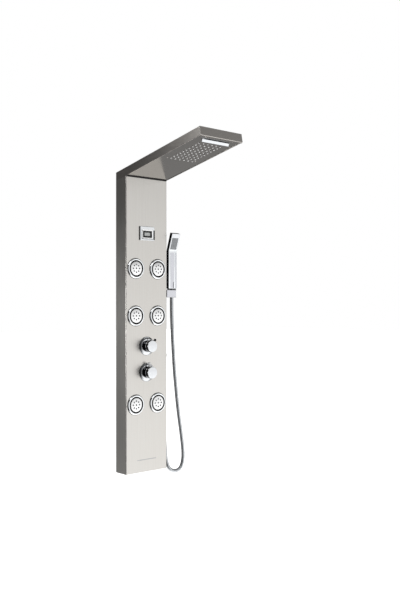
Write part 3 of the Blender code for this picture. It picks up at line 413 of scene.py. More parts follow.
# the tray's lower edge is turned in to a narrow rounded hem
headLength = head["reach"] / math.cos(head["slope"])
hem = {
    "start": 0.0760, "end": headLength - 0.0006, "sideShort": 0.0075, "inset": 0.0004, "wide": 0.0030,
    "deep": 0.0006, "noseInset": 0.0006,
    # back from the nose, below the rim
    "noseRoll": ((0, -0.0010), (0.0008, 0.0006), (0.0030, 0.0020), (0.0056, 0.0022), (0.0066, 0.0016),
                 (0.0066, -0.0010)),
}
work = bmesh.new()
for side in (-1, 1):
    outer = half - hem["inset"]
    low, high = sorted((side * outer, side * (outer - hem["wide"])))
    inHead(work, (hem["start"], low, head["rim"] - hem["inset"]),
           (hem["end"] - hem["sideShort"], high, head["rim"] + hem["deep"]))
settle(newPiece("sideHems", work, [headSteel], headPlace), "column", "brushed_steel")
work = bmesh.new()
addPrism(work, [(hem["end"] - back, head["rim"] + below) for back, below in hem["noseRoll"]],
         half - hem["noseInset"])
settle(newPiece("noseHem", work, [hemSteel], headPlace), "column", "brushed_steel")

# rain plate with its holes and the waterfall's mouth
rain = {"across": 6, "along": 10, "pitchX": 0.0204, "pitchY": 0.0175, "start": 0.279, "hole": 0.0032,
        "tip": 0.0027, "hang": 0.0028, "flare": 0.0008, "margin": 0.012, "matHalf": 0.064}
mouth = {"centre": 0.4755, "long": 0.126, "wide": 0.011}
fit = {"gap": 0.0003, "through": 0.002, "wallGap": 0.0035}
plateLow = head["rim"] - head["recess"]
plateTop = plateLow - column["sheet"]
plateHalf = half - column["sheet"] - fit["gap"]
plateStart = column["depth"] - fit["wallGap"] - plateLow * math.sin(head["slope"])
plateStart /= math.cos(head["slope"])
spots = [
    (rain["start"] + row * rain["pitchY"], (i - (rain["across"] - 1) / 2) * rain["pitchX"])
    for row in range(rain["along"]) for i in range(rain["across"])
]

work = bmesh.new()
inHead(work, (plateStart, -plateHalf, plateTop),
       (headLength - column["sheet"] - fit["gap"], plateHalf, plateLow))
rainPlate = newPiece("rainPlate", work, [plateSteelShaded], headPlace)
work = bmesh.new()
holeProfile = [(0, plateTop - fit["through"]), (rain["hole"], plateTop - fit["through"]),
               (rain["hole"], plateLow - 0.0004), (rain["hole"] + rain["flare"], plateLow + fit["through"]),
               (0, plateLow + fit["through"])]
for out, x in spots:
    addTurned(work, holeProfile, 20, under(out, x))
mouthWide = mouth["wide"] / 2 + fit["gap"]
mouthLong = mouth["long"] / 2 + fit["gap"]
inHead(work, (mouth["centre"] - mouthWide, -mouthLong, plateTop - fit["through"]),
       (mouth["centre"] + mouthWide, mouthLong, plateLow + fit["through"]))
plateHoles = newPiece("plateHoles", work, [plateSteelShaded], headPlace)
cut = rainPlate.modifiers.new("holes", "BOOLEAN")
cut.object = plateHoles
cut.solver = "EXACT"
bpy.context.view_layer.update()
cutMesh = bpy.data.meshes.new_from_object(rainPlate.evaluated_get(bpy.context.evaluated_depsgraph_get()))
rainPlate.modifiers.clear()
rainPlate.data = cutMesh
bpy.data.objects.remove(plateHoles)
cutMesh.shade_smooth()
cutMesh.set_sharp_from_angle(angle=sharpAngle)
settle(rainPlate, "column", "polished_steel", "head_underplate")

# one silicone mat, whose nozzles come through the plate's holes
matLow = plateTop - fit["gap"]
neck = rain["hole"] - 0.0002
tipLow = plateLow + rain["hang"]
nozzleProfile = [(0, matLow - 0.001), (neck, matLow - 0.001), (neck, plateLow + 0.0002),
                 (rain["tip"] - 0.0004, tipLow), (0.0009, tipLow), (0.0007, plateLow + 0.0014),
                 (0, plateLow + 0.0014)]
work = bmesh.new()
inHead(work, (rain["start"] - rain["margin"], -rain["matHalf"], matLow - 0.002),
       (spots[-1][0] + rain["margin"], rain["matHalf"], matLow))
for out, x in spots:
    addTurned(work, nozzleProfile, 16, under(out, x))
settle(newPiece("rainNozzles", work, [paleSilicone], headPlace), "column", "silicone", "rain_nozzles")

screw = {
    "spots": ((0.278, 0.067), (0.278, -0.068), (0.490, 0.064), (0.490, -0.064)),
    # radius, below the plate: a low head with a round recess
    "profile": ((0, 0.00005), (0.0032, 0.00005), (0.0028, 0.0011), (0.0016, 0.0015), (0.0014, 0.0009),
                (0, 0.0009)),
}
work = bmesh.new()
for out, x in screw["spots"]:
    addTurned(work, [(radius, plateLow + below) for radius, below in screw["profile"]], 20, under(out, x))
settle(newPiece("plateScrews", work, [hemSteel], headPlace), "column", "chrome")

# a short blade on the wall side of the mouth turns the sheet of water down
blade = {"out": 0.4702, "lean": 0.0050, "thick": 0.0018, "drop": 0.0078, "root": 0.001, "past": 0.0008}
bladeTip = blade["out"] - blade["lean"]
work = bmesh.new()
addPrism(work, [(blade["out"], plateLow - blade["root"]), (bladeTip, plateLow + blade["drop"]),
                (bladeTip - blade["thick"], plateLow + blade["drop"]),
                (bladeTip - blade["thick"], plateLow - blade["root"])], mouth["long"] / 2 + blade["past"])
settle(newPiece("waterfallBlade", work, [chrome], headPlace), "column", "chrome")

# a black strip where the column's front meets the plate: painted shade in the seam
neckShade = {"out": 0.0612, "inset": 0.0012, "proud": 0.0004, "sunk": 0.0010, "above": 0.0002, "below": 0.0042}
seamTop = foot + head["top"] + neckShade["out"] * math.sin(head["slope"]) - plateLow * math.cos(head["slope"])
work = bmesh.new()
addBox(work, (-half + neckShade["inset"], front - neckShade["proud"], seamTop - neckShade["below"]),
       (half - neckShade["inset"], front + neckShade["sunk"], seamTop + neckShade["above"]))
settle(newPiece("neckSeamShade", work, [blackRubberAndShade]), "column", "black_plastic")
print("head dressed")

# the pipework, which shows from behind, and the holder
for name, nodeName, finish, slotName, ease in (
    ("rainPipe", "rain_pipe", pexPipe, "white_plastic", 0),
    ("waterfallPipe", "waterfall_pipe", pexPipe, "white_plastic", 0),
    ("jetManifold", "jet_manifold", pexPipe, "white_plastic", 0),
    ("linkPipe", "link_pipe", turnedBrass, "brass", 0),
    ("hotInlet", "inlet_hot", turnedBrass, "brass", 0),
    ("coldInlet", "inlet_cold", turnedBrass, "brass", 0),
    ("outletPipe", "outlet_pipe", turnedBrass, "brass", 0),
    ("mixerValve", "mixer_valve", castBrass, "brass", 0.0006),
    ("diverterValve", "diverter_valve", castBrass, "brass", 0.0006),
    ("outletElbow", "outlet_elbow", chrome, "chrome", 0.0008),
    ("handsetHolder", "handset_holder", satinChrome, "chrome", 0.0006),
):
    shadedCopy(name, nodeName, finish, slotName, ease)
print("pipework shaded")

# display: a chromed frame with a stepped bezel round a dark-edged window
display = {"height": 0.932, "wide": 0.070, "tall": 0.055, "openWide": 0.043, "openTall": 0.026, "drop": 0.003}
middle = foot + display["height"]
windowMiddle = middle - display["drop"]
halfWide, halfTall = display["wide"] / 2, display["tall"] / 2
openWide, openTall = display["openWide"] / 2, display["openTall"] / 2


def aroundWindow(sideways, below, above):
    # the low and the high corner of a rectangle that much larger than the frame's opening
    low = (-openWide - sideways, windowMiddle - openTall - below)
    return low, (openWide + sideways, windowMiddle + openTall + above)


def ringOf(work, outside, hole, back, face):
    # a flat frame from its outer and its hole's corners, and how far its back and face stand out
    layers = {}
    for key, ((lowX, lowZ), (highX, highZ)) in (("outer", outside), ("hole", hole)):
        corners = ((lowX, lowZ), (highX, lowZ), (highX, highZ), (lowX, highZ))
        for depth, proud in (("Back", back), ("Face", face)):
            layers[key + depth] = [work.verts.new((x, front - proud, z)) for x, z in corners]
    for i in range(4):
        j = (i + 1) % 4
        for one, two in (("outerBack", "outerFace"), ("outerFace", "holeFace"), ("holeFace", "holeBack"),
                         ("holeBack", "outerBack")):
            work.faces.new((layers[one][i], layers[one][j], layers[two][j], layers[two][i]))


outerFrame = {"back": 0.0003, "face": 0.0042, "ease": 0.0011}
work = bmesh.new()
ringOf(work, ((-halfWide, middle - halfTall), (halfWide, middle + halfTall)), aroundWindow(0, 0, 0),
       outerFrame["back"], outerFrame["face"])
settle(newPiece("displayFrame", work, [chrome], None, outerFrame["ease"], 3),
       "column", "chrome", "display_frame")

bezel = {"outside": (0.0065, 0.0050, 0.0060), "hole": (0.0004, 0.0004, 0.0004), "back": 0.0041,
         "face": 0.0050, "ease": 0.0004}
work = bmesh.new()
ringOf(work, aroundWindow(*bezel["outside"]), aroundWindow(*bezel["hole"]), bezel["back"], bezel["face"])
settle(newPiece("displayBezel", work, [pearlAbs], None, bezel["ease"]), "column", "white_plastic")

# a grey L-shaped strip along the bezel's left and lower edges, standing a little proud: painted shade for a
# groove there
grooveShade = {"inset": 0.0078, "wide": 0.0020, "above": 0.0050, "upper": 0.0040, "lower": 0.0060,
          "back": 0.0048, "face": 0.0052}
grooveShadeLeft = -halfWide + grooveShade["inset"]
windowLow, windowHigh = windowMiddle - openTall, windowMiddle + openTall
work = bmesh.new()
addBox(work, (grooveShadeLeft, front - grooveShade["face"], windowLow - grooveShade["upper"]),
       (grooveShadeLeft + grooveShade["wide"], front - grooveShade["back"], windowHigh + grooveShade["above"]))
addBox(work, (grooveShadeLeft, front - grooveShade["face"], windowLow - grooveShade["lower"]),
       (-grooveShadeLeft, front - grooveShade["back"], windowLow - grooveShade["upper"]))
settle(newPiece("displayGrooveShade", work, [silicone]), "column", "grey_face")

# black strips at the frame's two sides, between it and the steel: painted shadow along the frame's edges
frameEdgeShade = {"back": 0.0002, "face": 0.0047, "ease": 0.0002, "leftOut": 0.0002, "leftIn": 0.0008,
             "leftShort": 0.001, "rightIn": 0.0052, "rightOut": 0.0012, "rightFoot": 0.004, "rightTop": 0.014}
work = bmesh.new()
shadeBack, shadeFace = front - frameEdgeShade["back"], front - frameEdgeShade["face"]
frameLow, frameHigh = middle - halfTall, middle + halfTall
addBox(work, (-halfWide - frameEdgeShade["leftOut"], shadeFace, frameLow + frameEdgeShade["leftShort"]),
       (-halfWide + frameEdgeShade["leftIn"], shadeBack, frameHigh - frameEdgeShade["leftShort"]))
addBox(work, (halfWide - frameEdgeShade["rightIn"], shadeFace, frameLow + frameEdgeShade["rightFoot"]),
       (halfWide + frameEdgeShade["rightOut"], shadeBack, frameHigh - frameEdgeShade["rightTop"]))
settle(newPiece("displayEdgeShade", work, [blackRubberAndShade], None, frameEdgeShade["ease"]), "column", "black_plastic")

mask = {"outside": (-0.0003, -0.0003, -0.0003), "hole": (-0.0070, -0.0062, -0.0062), "back": 0.0018,
        "face": 0.0049, "ease": 0.0004}
work = bmesh.new()
ringOf(work, aroundWindow(*mask["outside"]), aroundWindow(*mask["hole"]), mask["back"], mask["face"])
settle(newPiece("displayMask", work, [blackRubberAndShade], None, mask["ease"]), "column", "black_plastic")

window = {"outside": (-0.0072, -0.0064, -0.0064), "back": 0.0018, "face": 0.0040, "ease": 0.0003}
(lowX, lowZ), (highX, highZ) = aroundWindow(*window["outside"])
work = bmesh.new()
addBox(work, (lowX, front - window["face"], lowZ), (highX, front - window["back"], highZ))
settle(newPiece("displayWindow", work, [lcdPanel], None, window["ease"]),
       "column", "window", "display_window")
print("display made")

# a blank etched strip near the foot
etched = {"half": 0.0455, "low": 0.0466, "high": 0.0494, "proud": 0.00008, "sunk": 0.0003}
work = bmesh.new()
addBox(work, (-etched["half"], front - etched["proud"], foot + etched["low"]),
       (etched["half"], front + etched["sunk"], foot + etched["high"]))
settle(newPiece("etchedStrip", work, [zincSteel]), "column", "brushed_steel")

# body jets: a chromed socket with a dark gap, and a white swivelling face with nine soft nozzles
jet = {"ball": 0.030, "barrel": 0.033, "bezel": 0.0395, "proud": 0.005, "face": 0.0262, "ring": 0.015,
       "hole": 0.0030, "nozzle": 0.0026, "offset": 0.0539, "heights": (0.794, 0.610, 0.265), "inlet": 0.008,
       "bore": 0.005, "sides": 64}
ball, bezelEdge, proud = jet["ball"], jet["bezel"], jet["proud"]
ballMiddle = proud - math.sqrt(ball**2 - jet["face"]**2)
cupBack = ballMiddle - ball * math.sin(math.radians(28)) - 0.0008


def arcPoints(radius, start, stop, steps, centre):
    turns = [math.radians(start + (stop - start) * i / steps) for i in range(steps + 1)]
    return [(radius * math.sin(a), centre + radius * math.cos(a)) for a in turns]


bodyProfile = (
    [(ball + 0.0024, proud - 0.0004), (ball + 0.0032, proud), (bezelEdge - 0.0030, proud),
     (bezelEdge - 0.0014, proud - 0.0009), (bezelEdge - 0.0003, 0.0024), (bezelEdge, 0.0012),
     (bezelEdge, 0.0003), (jet["barrel"], 0.0003), (jet["barrel"], cupBack - 0.0025),
     (jet["inlet"], cupBack - 0.0025), (jet["inlet"], cupBack - 0.0200), (jet["bore"], cupBack - 0.0200),
     (jet["bore"], cupBack), (ball, cupBack)]
    + arcPoints(ball + 0.0005, 100, 72, 4, ballMiddle)
)
# lighter chrome on top as a painted highlight, near-black chrome at the rim as a painted dark reflection, and
# black rubber inside as painted shade, so that the gap round the face reads as a ring
bodyFinishAndShade = [0, 0, 0, 0, 2, 2, 0] + [1] * (len(bodyProfile) - 7)
rimAngle = math.degrees(math.asin(jet["face"] / ball))
faceProfile = (
    [(0, proud), (jet["face"] - 0.0016, proud), (jet["face"] - 0.0004, proud - 0.0005)]
    + arcPoints(ball, rimAngle + 1.5, 106, 8, ballMiddle)
    + [(ball - 0.005, ballMiddle - ball * math.sin(math.radians(16))), (ball - 0.006, proud - 0.0045),
       (0, proud - 0.0045)]
)
# the face's side under its rim and the seat round each nozzle are black rubber: painted shade in the gaps
faceFinishAndShade = [0, 0, 0] + [1] * (len(faceProfile) - 3)
# a black rubber ring a little wider than the bezel: painted shadow round its edge
edgeShadowProfile = [(bezelEdge + 0.0009, 0.0002), (bezelEdge + 0.0006, 0.0011), (bezelEdge - 0.0030, 0.0011),
                 (bezelEdge - 0.0030, 0.0002)]
seatIn, seatOut = jet["hole"] - 0.0002, jet["hole"] + 0.0003
seatProfile = [(0, proud - 0.0002), (seatIn, proud - 0.0002), (seatIn, proud + 0.0001),
               (seatOut, proud + 0.0001), (seatOut, proud - 0.0004), (0, proud - 0.0004)]
softProfile = [(0, proud - 0.001), (jet["nozzle"], proud - 0.001), (jet["nozzle"] - 0.0002, proud + 0.0006),
               (jet["nozzle"] - 0.0006, proud + 0.0010), (0.0007, proud + 0.0010), (0.0006, proud + 0.0004),
               (0, proud + 0.0004)]
nozzleSpots = [(0.0, 0.0)] + [
    (jet["ring"] * math.cos(math.radians(45 * i)), jet["ring"] * math.sin(math.radians(45 * i)))
    for i in range(8)
]
jetSpots = [(side * jet["offset"], up) for up in jet["heights"] for side in (-1, 1)]
for number, (jetX, up) in enumerate(jetSpots, 1):
    place = facing(jetX, up)
    body = f"jet_{number}"
    socket = turnedPiece(f"jetSocket_{number}", bodyProfile, [paintedLightChrome, blackRubberAndShade, paintedDarkChrome], place,
                         jet["sides"], bodyFinishAndShade)
    settle(socket, "column", "chrome", f"jet_body_{number}")
    edgeShadow = turnedPiece(f"jetEdgeShadow_{number}", edgeShadowProfile, [blackRubberAndShade], place, jet["sides"])
    settle(edgeShadow, "column", "black_plastic")
    shadedCopy(f"jetNut_{number}", f"jet_nut_{number}", whiteAbs, "white_plastic", 0.0005)
    work = bmesh.new()
    addTurned(work, faceProfile, jet["sides"], None, faceFinishAndShade)
    for x, y in nozzleSpots:
        addTurned(work, seatProfile, 20, Matrix.Translation((x, y, 0)), [1] * len(seatProfile))
    settle(newPiece(f"jetFace_{number}", work, [pearlAbs, blackRubberAndShade], place), body, "white_plastic",
           f"jet_face_{number}")
    work = bmesh.new()
    for x, y in nozzleSpots:
        addTurned(work, softProfile, 16, Matrix.Translation((x, y, 0)))
    settle(newPiece(f"jetNozzles_{number}", work, [silicone], place), body, "silicone",
           f"jet_nozzles_{number}")
print("jets made")

# controls: a thin flange, a plain round knob with a flat face, and a short lever pin
control = {"flange": 0.036, "flangeThick": 0.005, "neck": 0.0173, "knob": 0.023, "knobFront": 0.0375,
           "pin": 0.005, "pinTip": 0.0395, "pinForward": 0.0175, "spindle": 0.0053, "sides": 72}
flange, knob, knobFront, pin = control["flange"], control["knob"], control["knobFront"], control["pin"]
pinTip, spindle = control["pinTip"], control["spindle"]
flangeProfile = [
    (control["neck"], control["flangeThick"]), (knob + 0.0045, control["flangeThick"]),
    (knob + 0.0053, control["flangeThick"] - 0.0002), (flange - 0.0022, 0.0016), (flange - 0.0012, 0.0018),
    (flange, 0.0012), (flange, 0.0003), (control["neck"], 0.0003),
]
# a black rubber ring a little wider than the flange: painted shadow round its edge
knobEdgeShadow = [(flange + 0.0008, 0.0002), (flange + 0.0005, 0.0010), (flange - 0.0030, 0.0010),
              (flange - 0.0030, 0.0002)]
knobProfile = [
    (0, knobFront), (knob - 0.0022, knobFront), (knob - 0.0009, knobFront - 0.0003),
    (knob - 0.0002, knobFront - 0.0011), (knob, knobFront - 0.0022), (knob, 0.0252), (knob - 0.0004, 0.0246),
    (knob - 0.0004, 0.0226), (knob, 0.0220), (knob, 0.0066), (knob - 0.0008, 0.0056), (knob - 0.003, 0.0056),
    (knob - 0.003, knobFront - 0.012), (spindle, knobFront - 0.012), (spindle, knobFront - 0.004),
    (0, knobFront - 0.004),
]
# the knob's round side is near-black chrome as a painted dark reflection; its face, its groove and its back
# stay chrome
knobFinishAndShade = [0, 0, 0, 0, 1, 0, 0, 0, 1, 1] + [0] * (len(knobProfile) - 10)
pinProfile = [
    (0, pinTip), (pin - 0.0018, pinTip), (pin - 0.0006, pinTip - 0.0005), (pin, pinTip - 0.0018),
    (pin, knob + 0.0012), (pin - 0.0006, knob + 0.0003), (pin - 0.002, knob + 0.0003),
    (pin - 0.002, knob - 0.0015), (0, knob - 0.0015),
]
controls = {
    # the mixer's pin is near-black chrome: a painted dark reflection
    "mixer": {"height": 0.4915, "turn": 50, "pin": paintedDarkChrome, "mark": (0.0006, 0.0264), "dot": 0.0024},
    "diverter": {"height": 0.389, "turn": 0, "pin": whiteAbs, "mark": (-0.0020, 0.0325), "dot": 0.0018},
}
for name, each in controls.items():
    place = facing(0, each["height"])
    settle(turnedPiece(f"{name}Flange", flangeProfile, [chrome], place, control["sides"]),
           "column", "chrome", f"{name}_flange")
    settle(turnedPiece(f"{name}EdgeShadow", knobEdgeShadow, [blackRubberAndShade], place, control["sides"]),
           "column", "black_plastic")
    settle(turnedPiece(f"{name}Knob", knobProfile, [chrome, paintedDarkChrome], place, control["sides"], knobFinishAndShade),
           name, "chrome", f"{name}_knob")
    forward = place @ Matrix.Translation((0, 0, control["pinForward"]))
    leaning = forward @ Matrix.Rotation(-math.radians(each["turn"]), 4, "Z")
    outward = leaning @ Matrix.Rotation(math.radians(-90), 4, "X")
    settle(turnedPiece(f"{name}Pin", pinProfile, [each["pin"]], outward, 32), name, "chrome", f"{name}_pin")
    dotProfile = [(0, 0.0058), (each["dot"] - 0.0003, 0.0058), (each["dot"], 0.0040), (each["dot"], 0.0010),
                  (0, 0.0010)]
    work = bmesh.new()
    addTurned(work, dotProfile, 20, Matrix.Translation((*each["mark"], 0)))
    settle(newPiece(f"{name}Index", work, [blackAbsAndShade], place), "column", "black_plastic")
print("controls made")

# handset: a flat stick with a leaning head, a grey spray face, and a black band at its foot, painted shadow
# where it stands in the holder
handset = {"x": half + 0.035, "back": 0.0545, "wide": 0.042, "thick": 0.015, "foot": 0.7140, "bend": 0.871,
           "lean": math.radians(18.8), "head": 0.0732, "corner": 0.0012, "leastCorner": 0.0008,
           "bendRadius": 0.030, "bendSteps": 8, "straight": 0.04, "bore": 0.0055}
halfThick = handset["thick"] / 2
upWay, acrossWay = Vector((0, 0, 1)), Vector((1, 0, 0))
leanWay = Vector((0, -math.sin(handset["lean"]), math.cos(handset["lean"])))
footPoint = Vector((handset["x"], -handset["back"], foot + handset["foot"]))
bendPoint = Vector((handset["x"], -handset["back"], foot + handset["bend"]))
headEnd = bendPoint + leanWay * handset["head"]


def roundedSection(wide, thick, corner, steps=5):
    points = []
    for right, forward, start in ((1, 1, 0), (-1, 1, 90), (-1, -1, 180), (1, -1, 270)):
        for i in range(steps + 1):
            a = math.radians(start + 90 * i / steps)
            points.append((right * (wide / 2 - corner) + corner * math.cos(a),
                           forward * (thick / 2 - corner) + corner * math.sin(a)))
    return points


def stick(work, stations, paintedDarkSide=0):
    # stations are (point, upward direction, shrink): cross-sections of one closed bar
    rings = []
    for point, way, shrink in stations:
        square = acrossWay.cross(way)  # towards the room
        corner = max(handset["corner"] - shrink, handset["leastCorner"])
        section = roundedSection(handset["wide"] - 2 * shrink, handset["thick"] - 2 * shrink, corner)
        rings.append([work.verts.new(point + acrossWay * a + square * b) for a, b in section])
    count = len(rings[0])
    for one, two in zip(rings, rings[1:]):
        for i in range(count):
            j = (i + 1) % count
            face = work.faces.new((one[i], one[j], two[j], two[i]))
            face.material_index = paintedDarkSide if i == count // 2 - 1 else 0
    for ring in (rings[0], rings[-1]):
        work.faces.new(ring)


trim = handset["bendRadius"] * math.tan(handset["lean"] / 2)
bendCentre = bendPoint - upWay * trim + Vector((0, -handset["bendRadius"], 0))
stations = [(footPoint + upWay * lift, upWay, shrink)
            for lift, shrink in ((0.0045, 0.0010), (0.0048, 0.0004), (0.0056, 0.0))]
stations.append((bendPoint - upWay * (trim + handset["straight"]), upWay, 0.0))
for i in range(handset["bendSteps"] + 1):
    a = handset["lean"] * i / handset["bendSteps"]
    outWay, arcWay = Vector((0, math.cos(a), math.sin(a))), Vector((0, -math.sin(a), math.cos(a)))
    stations.append((bendCentre + outWay * handset["bendRadius"], arcWay, 0.0))
for drop, shrink in ((0.0016, 0.0), (0.0005, 0.0004), (0.0, 0.0014)):
    stations.append((headEnd - leanWay * drop, leanWay, shrink))
work = bmesh.new()
stick(work, stations, 1)  # the narrow left side is near-black chrome: a painted dark reflection, as the strip between two bright faces
inletProfile = [(0, 0.006), (handset["bore"], 0.006), (handset["bore"], -0.010), (0, -0.010)]
addTurned(work, inletProfile, 24, Matrix.Translation(footPoint))
settle(newPiece("handsetBody", work, [chrome, paintedDarkChrome]), "handset", "chrome", "handset_body")
# black rubber band at the stick's foot: painted shadow where the stick stands in the holder
work = bmesh.new()
stick(work, [(footPoint + upWay * lift, upWay, shrink)
             for lift, shrink in ((0.0002, 0.0026), (0.0008, 0.0018), (0.0046, 0.0018))])
settle(newPiece("handsetFootShadow", work, [blackRubberAndShade]), "handset", "black_plastic")

# two satin panels on the stick's face, with a short slot between them; X from the stick's middle
panel = {"left": (-0.0118, 0.0070), "right": (0.0136, 0.0198), "slot": (0.0016, 0.0042), "top": 0.003,
         "low": 0.0070, "proud": 0.00025, "slotProud": 0.0005, "sunk": 0.0005, "slotDrop": 0.001,
         "slotTall": 0.0240, "ease": 0.0001}
faceY = -handset["back"] - halfThick
panelTop = foot + handset["bend"] - trim - panel["top"]
panelLow = foot + handset["foot"] + panel["low"]
work = bmesh.new()
for left, right in (panel["left"], panel["right"]):
    addBox(work, (handset["x"] + left, faceY - panel["proud"], panelLow),
           (handset["x"] + right, faceY + panel["sunk"], panelTop))
settle(newPiece("handsetPanels", work, [satinChrome], None, panel["ease"]), "handset", "chrome")
left, right = panel["slot"]
work = bmesh.new()
addBox(work, (handset["x"] + left, faceY - panel["slotProud"], panelLow - panel["slotDrop"]),
       (handset["x"] + right, faceY + panel["sunk"], panelLow + panel["slotTall"]))
settle(newPiece("handsetSlot", work, [blackRubberAndShade], None, panel["ease"]), "handset", "black_plastic")

# the spray face lies on a black plate a little wider than itself: painted shade for the gap round it on the
# leaning head
spray = {"wide": 0.030, "tall": 0.046, "low": 0.0085, "across": 4, "along": 7, "pitchX": 0.0066,
         "pitchZ": 0.0060, "first": 0.0050, "gap": 0.0007, "gapProud": 0.0003, "gapSunk": 0.002,
         "proud": 0.0008, "sunk": 0.0015, "nozzleProud": 0.0004}
nibProfile = [(0, 0.0002), (0.0012, 0.0002), (0.0009, 0.0010), (0.0004, 0.0010), (0.0004, 0.0006),
              (0, 0.0006)]
facePlace = Matrix.Translation(bendPoint) @ Matrix.Rotation(handset["lean"], 4, "X")
sprayHalf, sprayTop = spray["wide"] / 2, spray["low"] + spray["tall"]
work = bmesh.new()
addBox(work, (-sprayHalf - spray["gap"], -halfThick - spray["gapProud"], spray["low"] - spray["gap"]),
       (sprayHalf + spray["gap"], -halfThick + spray["gapSunk"], sprayTop + spray["gap"]))
settle(newPiece("sprayGapShade", work, [blackAbsAndShade], facePlace, 0.0002), "handset", "black_plastic")
work = bmesh.new()
addBox(work, (-sprayHalf, -halfThick - spray["proud"], spray["low"]),
       (sprayHalf, -halfThick + spray["sunk"], sprayTop))
settle(newPiece("sprayFace", work, [sprayAbs], facePlace, 0.0005, 3),
       "handset", "grey_face", "handset_face")
work = bmesh.new()
for row in range(spray["along"]):
    for i in range(spray["across"]):
        x = (i - (spray["across"] - 1) / 2) * spray["pitchX"]
        z = spray["low"] + spray["first"] + row * spray["pitchZ"]
        nib = Matrix.Translation((x, -halfThick - spray["nozzleProud"], z))
        addTurned(work, nibProfile, 12, nib @ Matrix.Rotation(math.radians(90), 4, "X"))
settle(newPiece("sprayNozzles", work, [silicone], facePlace), "handset", "silicone")

# hose nuts: a cone at the handset, a knurled collar at the outlet
nut = {
    "upper": [(0.0058, 0.0), (0.0094, 0.0), (0.0098, -0.0006), (0.0098, -0.0030), (0.0092, -0.0040),
              (0.0086, -0.0290), (0.0082, -0.0310), (0.0058, -0.0310)],
    "lower": [(0.0050, 0.0), (0.0098, 0.0), (0.0102, -0.0008), (0.0104, -0.0030), (0.0100, -0.0042),
              (0.0088, -0.0160), (0.0084, -0.0165), (0.0050, -0.0165)],
    "seat": 0.0003, "lowerPlace": (half + 0.015, -0.031, foot + 0.470 - 0.0163), "ribs": 20,
    "ribOut": 0.0094, "ribDown": 0.0090, "ribLean": math.radians(6), "ribSize": (0.0010, 0.0011, 0.0085),
}
nutPlace = Matrix.Translation(footPoint - upWay * nut["seat"])
settle(turnedPiece("hoseNutUpper", nut["upper"], [chrome], nutPlace, 40),
       "handset", "chrome", "hose_nut_upper")
work = bmesh.new()
addTurned(work, nut["lower"], 40)
ribShape = (Matrix.Translation((nut["ribOut"], 0, -nut["ribDown"])) @ Matrix.Rotation(nut["ribLean"], 4, "Y")
            @ Matrix.Diagonal((*nut["ribSize"], 1)))
for i in range(nut["ribs"]):
    turn = Matrix.Rotation(2 * math.pi * i / nut["ribs"], 4, "Z")
    bmesh.ops.create_cube(work, size=1, matrix=turn @ ribShape)
settle(newPiece("hoseNutLower", work, [chrome], Matrix.Translation(nut["lowerPlace"])),
       "column", "chrome", "hose_nut_lower")
print("handset made")

# studio: pale floor, white surround, light from the room side
studio = {"floorDrop": 0.62, "half": 30.0, "floorLight": 1.3}
work = bmesh.new()
work.faces.new([
    work.verts.new((a * studio["half"], b * studio["half"], foot - studio["floorDrop"]))
    for a, b in ((-1, -1), (1, -1), (1, 1), (-1, 1))
])
# painted board that gives off light, so that it stays white with no shadow on it
paleFloor = surface("rolledWhitePaint", {
    "colours": ("#F4F4F4", "#FAFAFA"), "roughness": (0.7, 0.8), "grain": (2, 2, 2), "cloud": 9.0,
    "shader": {"Emission Color": (1, 1, 1, 1), "Emission Strength": studio["floorLight"]}})
floor = newPiece("studioFloor", work, [paleFloor])
floor.visible_glossy = False
floor.visible_diffuse = False

# what the metal mirrors. The camera sees plain white. The axis of the view direction comes first, then the
# two values that the light fades between, then its strength at each.
zones = {
    "roomY": ("Y", -0.42, 0.0, 1.0, 0.0),
    "rightX": ("X", -0.30, 0.40, 0.0, 1.0),
    "upperZ": ("Z", 0.12, 0.57, 1.0, 0.14),
    "behindY": ("Y", -0.05, 0.40, 0.0, 1.0),
    "underZ": ("Z", -0.26, -0.10, 0.37, 0.0),
    "nearY": ("Y", -0.30, 0.0, 1.0, 0.0),
    "leftX": ("X", -0.98, -0.74, 0.90, 0.0),
    "floor": ("Z", -0.93, -0.76, 1.7, 0.0),
}
sky = {"low": -0.5, "high": 0.5, "lowLight": 1.735, "highLight": 0.785, "dark": 0.045}
world = bpy.data.worlds.new("studioSurround")
bpy.context.scene.world = world
world.use_nodes = True
tree = world.node_tree
way = addNode(tree, "ShaderNodeTexCoord")
split = addNode(tree, "ShaderNodeSeparateXYZ", {}, {"Vector": way.outputs["Generated"]})
parts = {}
for name, (axis, low, high, lowLight, highLight) in zones.items():
    fade = addNode(tree, "ShaderNodeMapRange",
                   {"interpolation_type": "SMOOTHSTEP", "From Min": low, "From Max": high,
                    "To Min": lowLight, "To Max": highLight}, {"Value": split.outputs[axis]})
    parts[name] = fade.outputs["Result"]
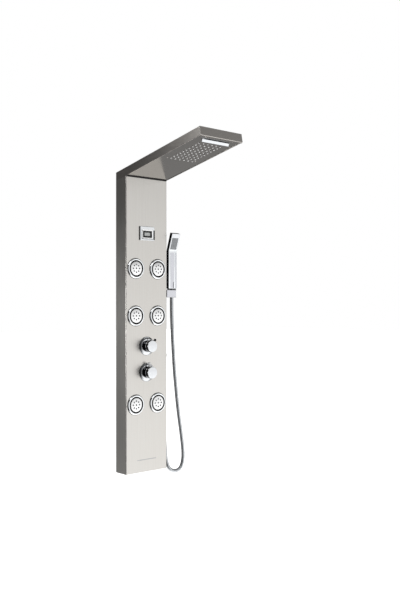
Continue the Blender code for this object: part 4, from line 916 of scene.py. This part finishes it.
# the room is brighter low down than high up
height = addNode(tree, "ShaderNodeMapRange",
                 {"From Min": sky["low"], "From Max": sky["high"], "To Min": sky["lowLight"],
                  "To Max": sky["highLight"]}, {"Value": split.outputs["Z"]})
parts["height"] = height.outputs["Result"]
for name, operation, one, two in (
    ("room", "MULTIPLY", "roomY", "rightX"),
    ("upper", "MULTIPLY", "height", "upperZ"),
    ("roomLight", "MULTIPLY", "room", "upper"),
    ("behind", "MULTIPLY", "behindY", "underZ"),
    ("left", "MULTIPLY", "nearY", "leftX"),
    ("roomAndBehind", "ADD", "roomLight", "behind"),
    ("leftAndFloor", "ADD", "left", "floor"),
    ("all", "ADD", "roomAndBehind", "leftAndFloor"),
):
    joined = addNode(tree, "ShaderNodeMath", {"operation": operation}, {0: parts[one], 1: parts[two]})
    parts[name] = joined.outputs["Value"]
mirrored = addNode(tree, "ShaderNodeMath", {"operation": "ADD", 1: sky["dark"]}, {0: parts["all"]})
seen = addNode(tree, "ShaderNodeLightPath")
strength = addNode(tree, "ShaderNodeMix", {"data_type": "FLOAT", 3: 1.0},
                   {0: seen.outputs["Is Camera Ray"], 2: mirrored.outputs["Value"]})
backdrop = tree.nodes["Background"]
backdrop.inputs["Color"].default_value = (1, 1, 1, 1)
tree.links.new(strength.outputs[0], backdrop.inputs["Strength"])

lamps = {
    "keySoftbox": {"place": (-0.75, -1.57, 1.40), "target": (0, -0.07, -0.40), "size": 1.2, "watts": 15},
    "sideSoftbox": {"place": (-1.45, 0.35, -0.48), "target": (-0.10, -0.03, -0.48), "size": 0.5,
                    "watts": 5.6},
    "noseSoftbox": {"place": (-0.75, -0.22, 0.33), "target": (-0.10, -0.46, 0.21), "size": 0.25,
                    "watts": 1.3},
}
for name, each in lamps.items():
    data = bpy.data.lights.new(name, "AREA")
    data.size = each["size"]
    data.energy = each["watts"]
    lamp = bpy.data.objects.new(name, data)
    lamp.location = each["place"]
    aim = Vector(each["target"]) - Vector(each["place"])
    lamp.rotation_euler = aim.to_track_quat("-Z", "Y").to_euler()
    lamp.visible_camera = False
    bpy.context.scene.collection.objects.link(lamp)
print("studio lit")
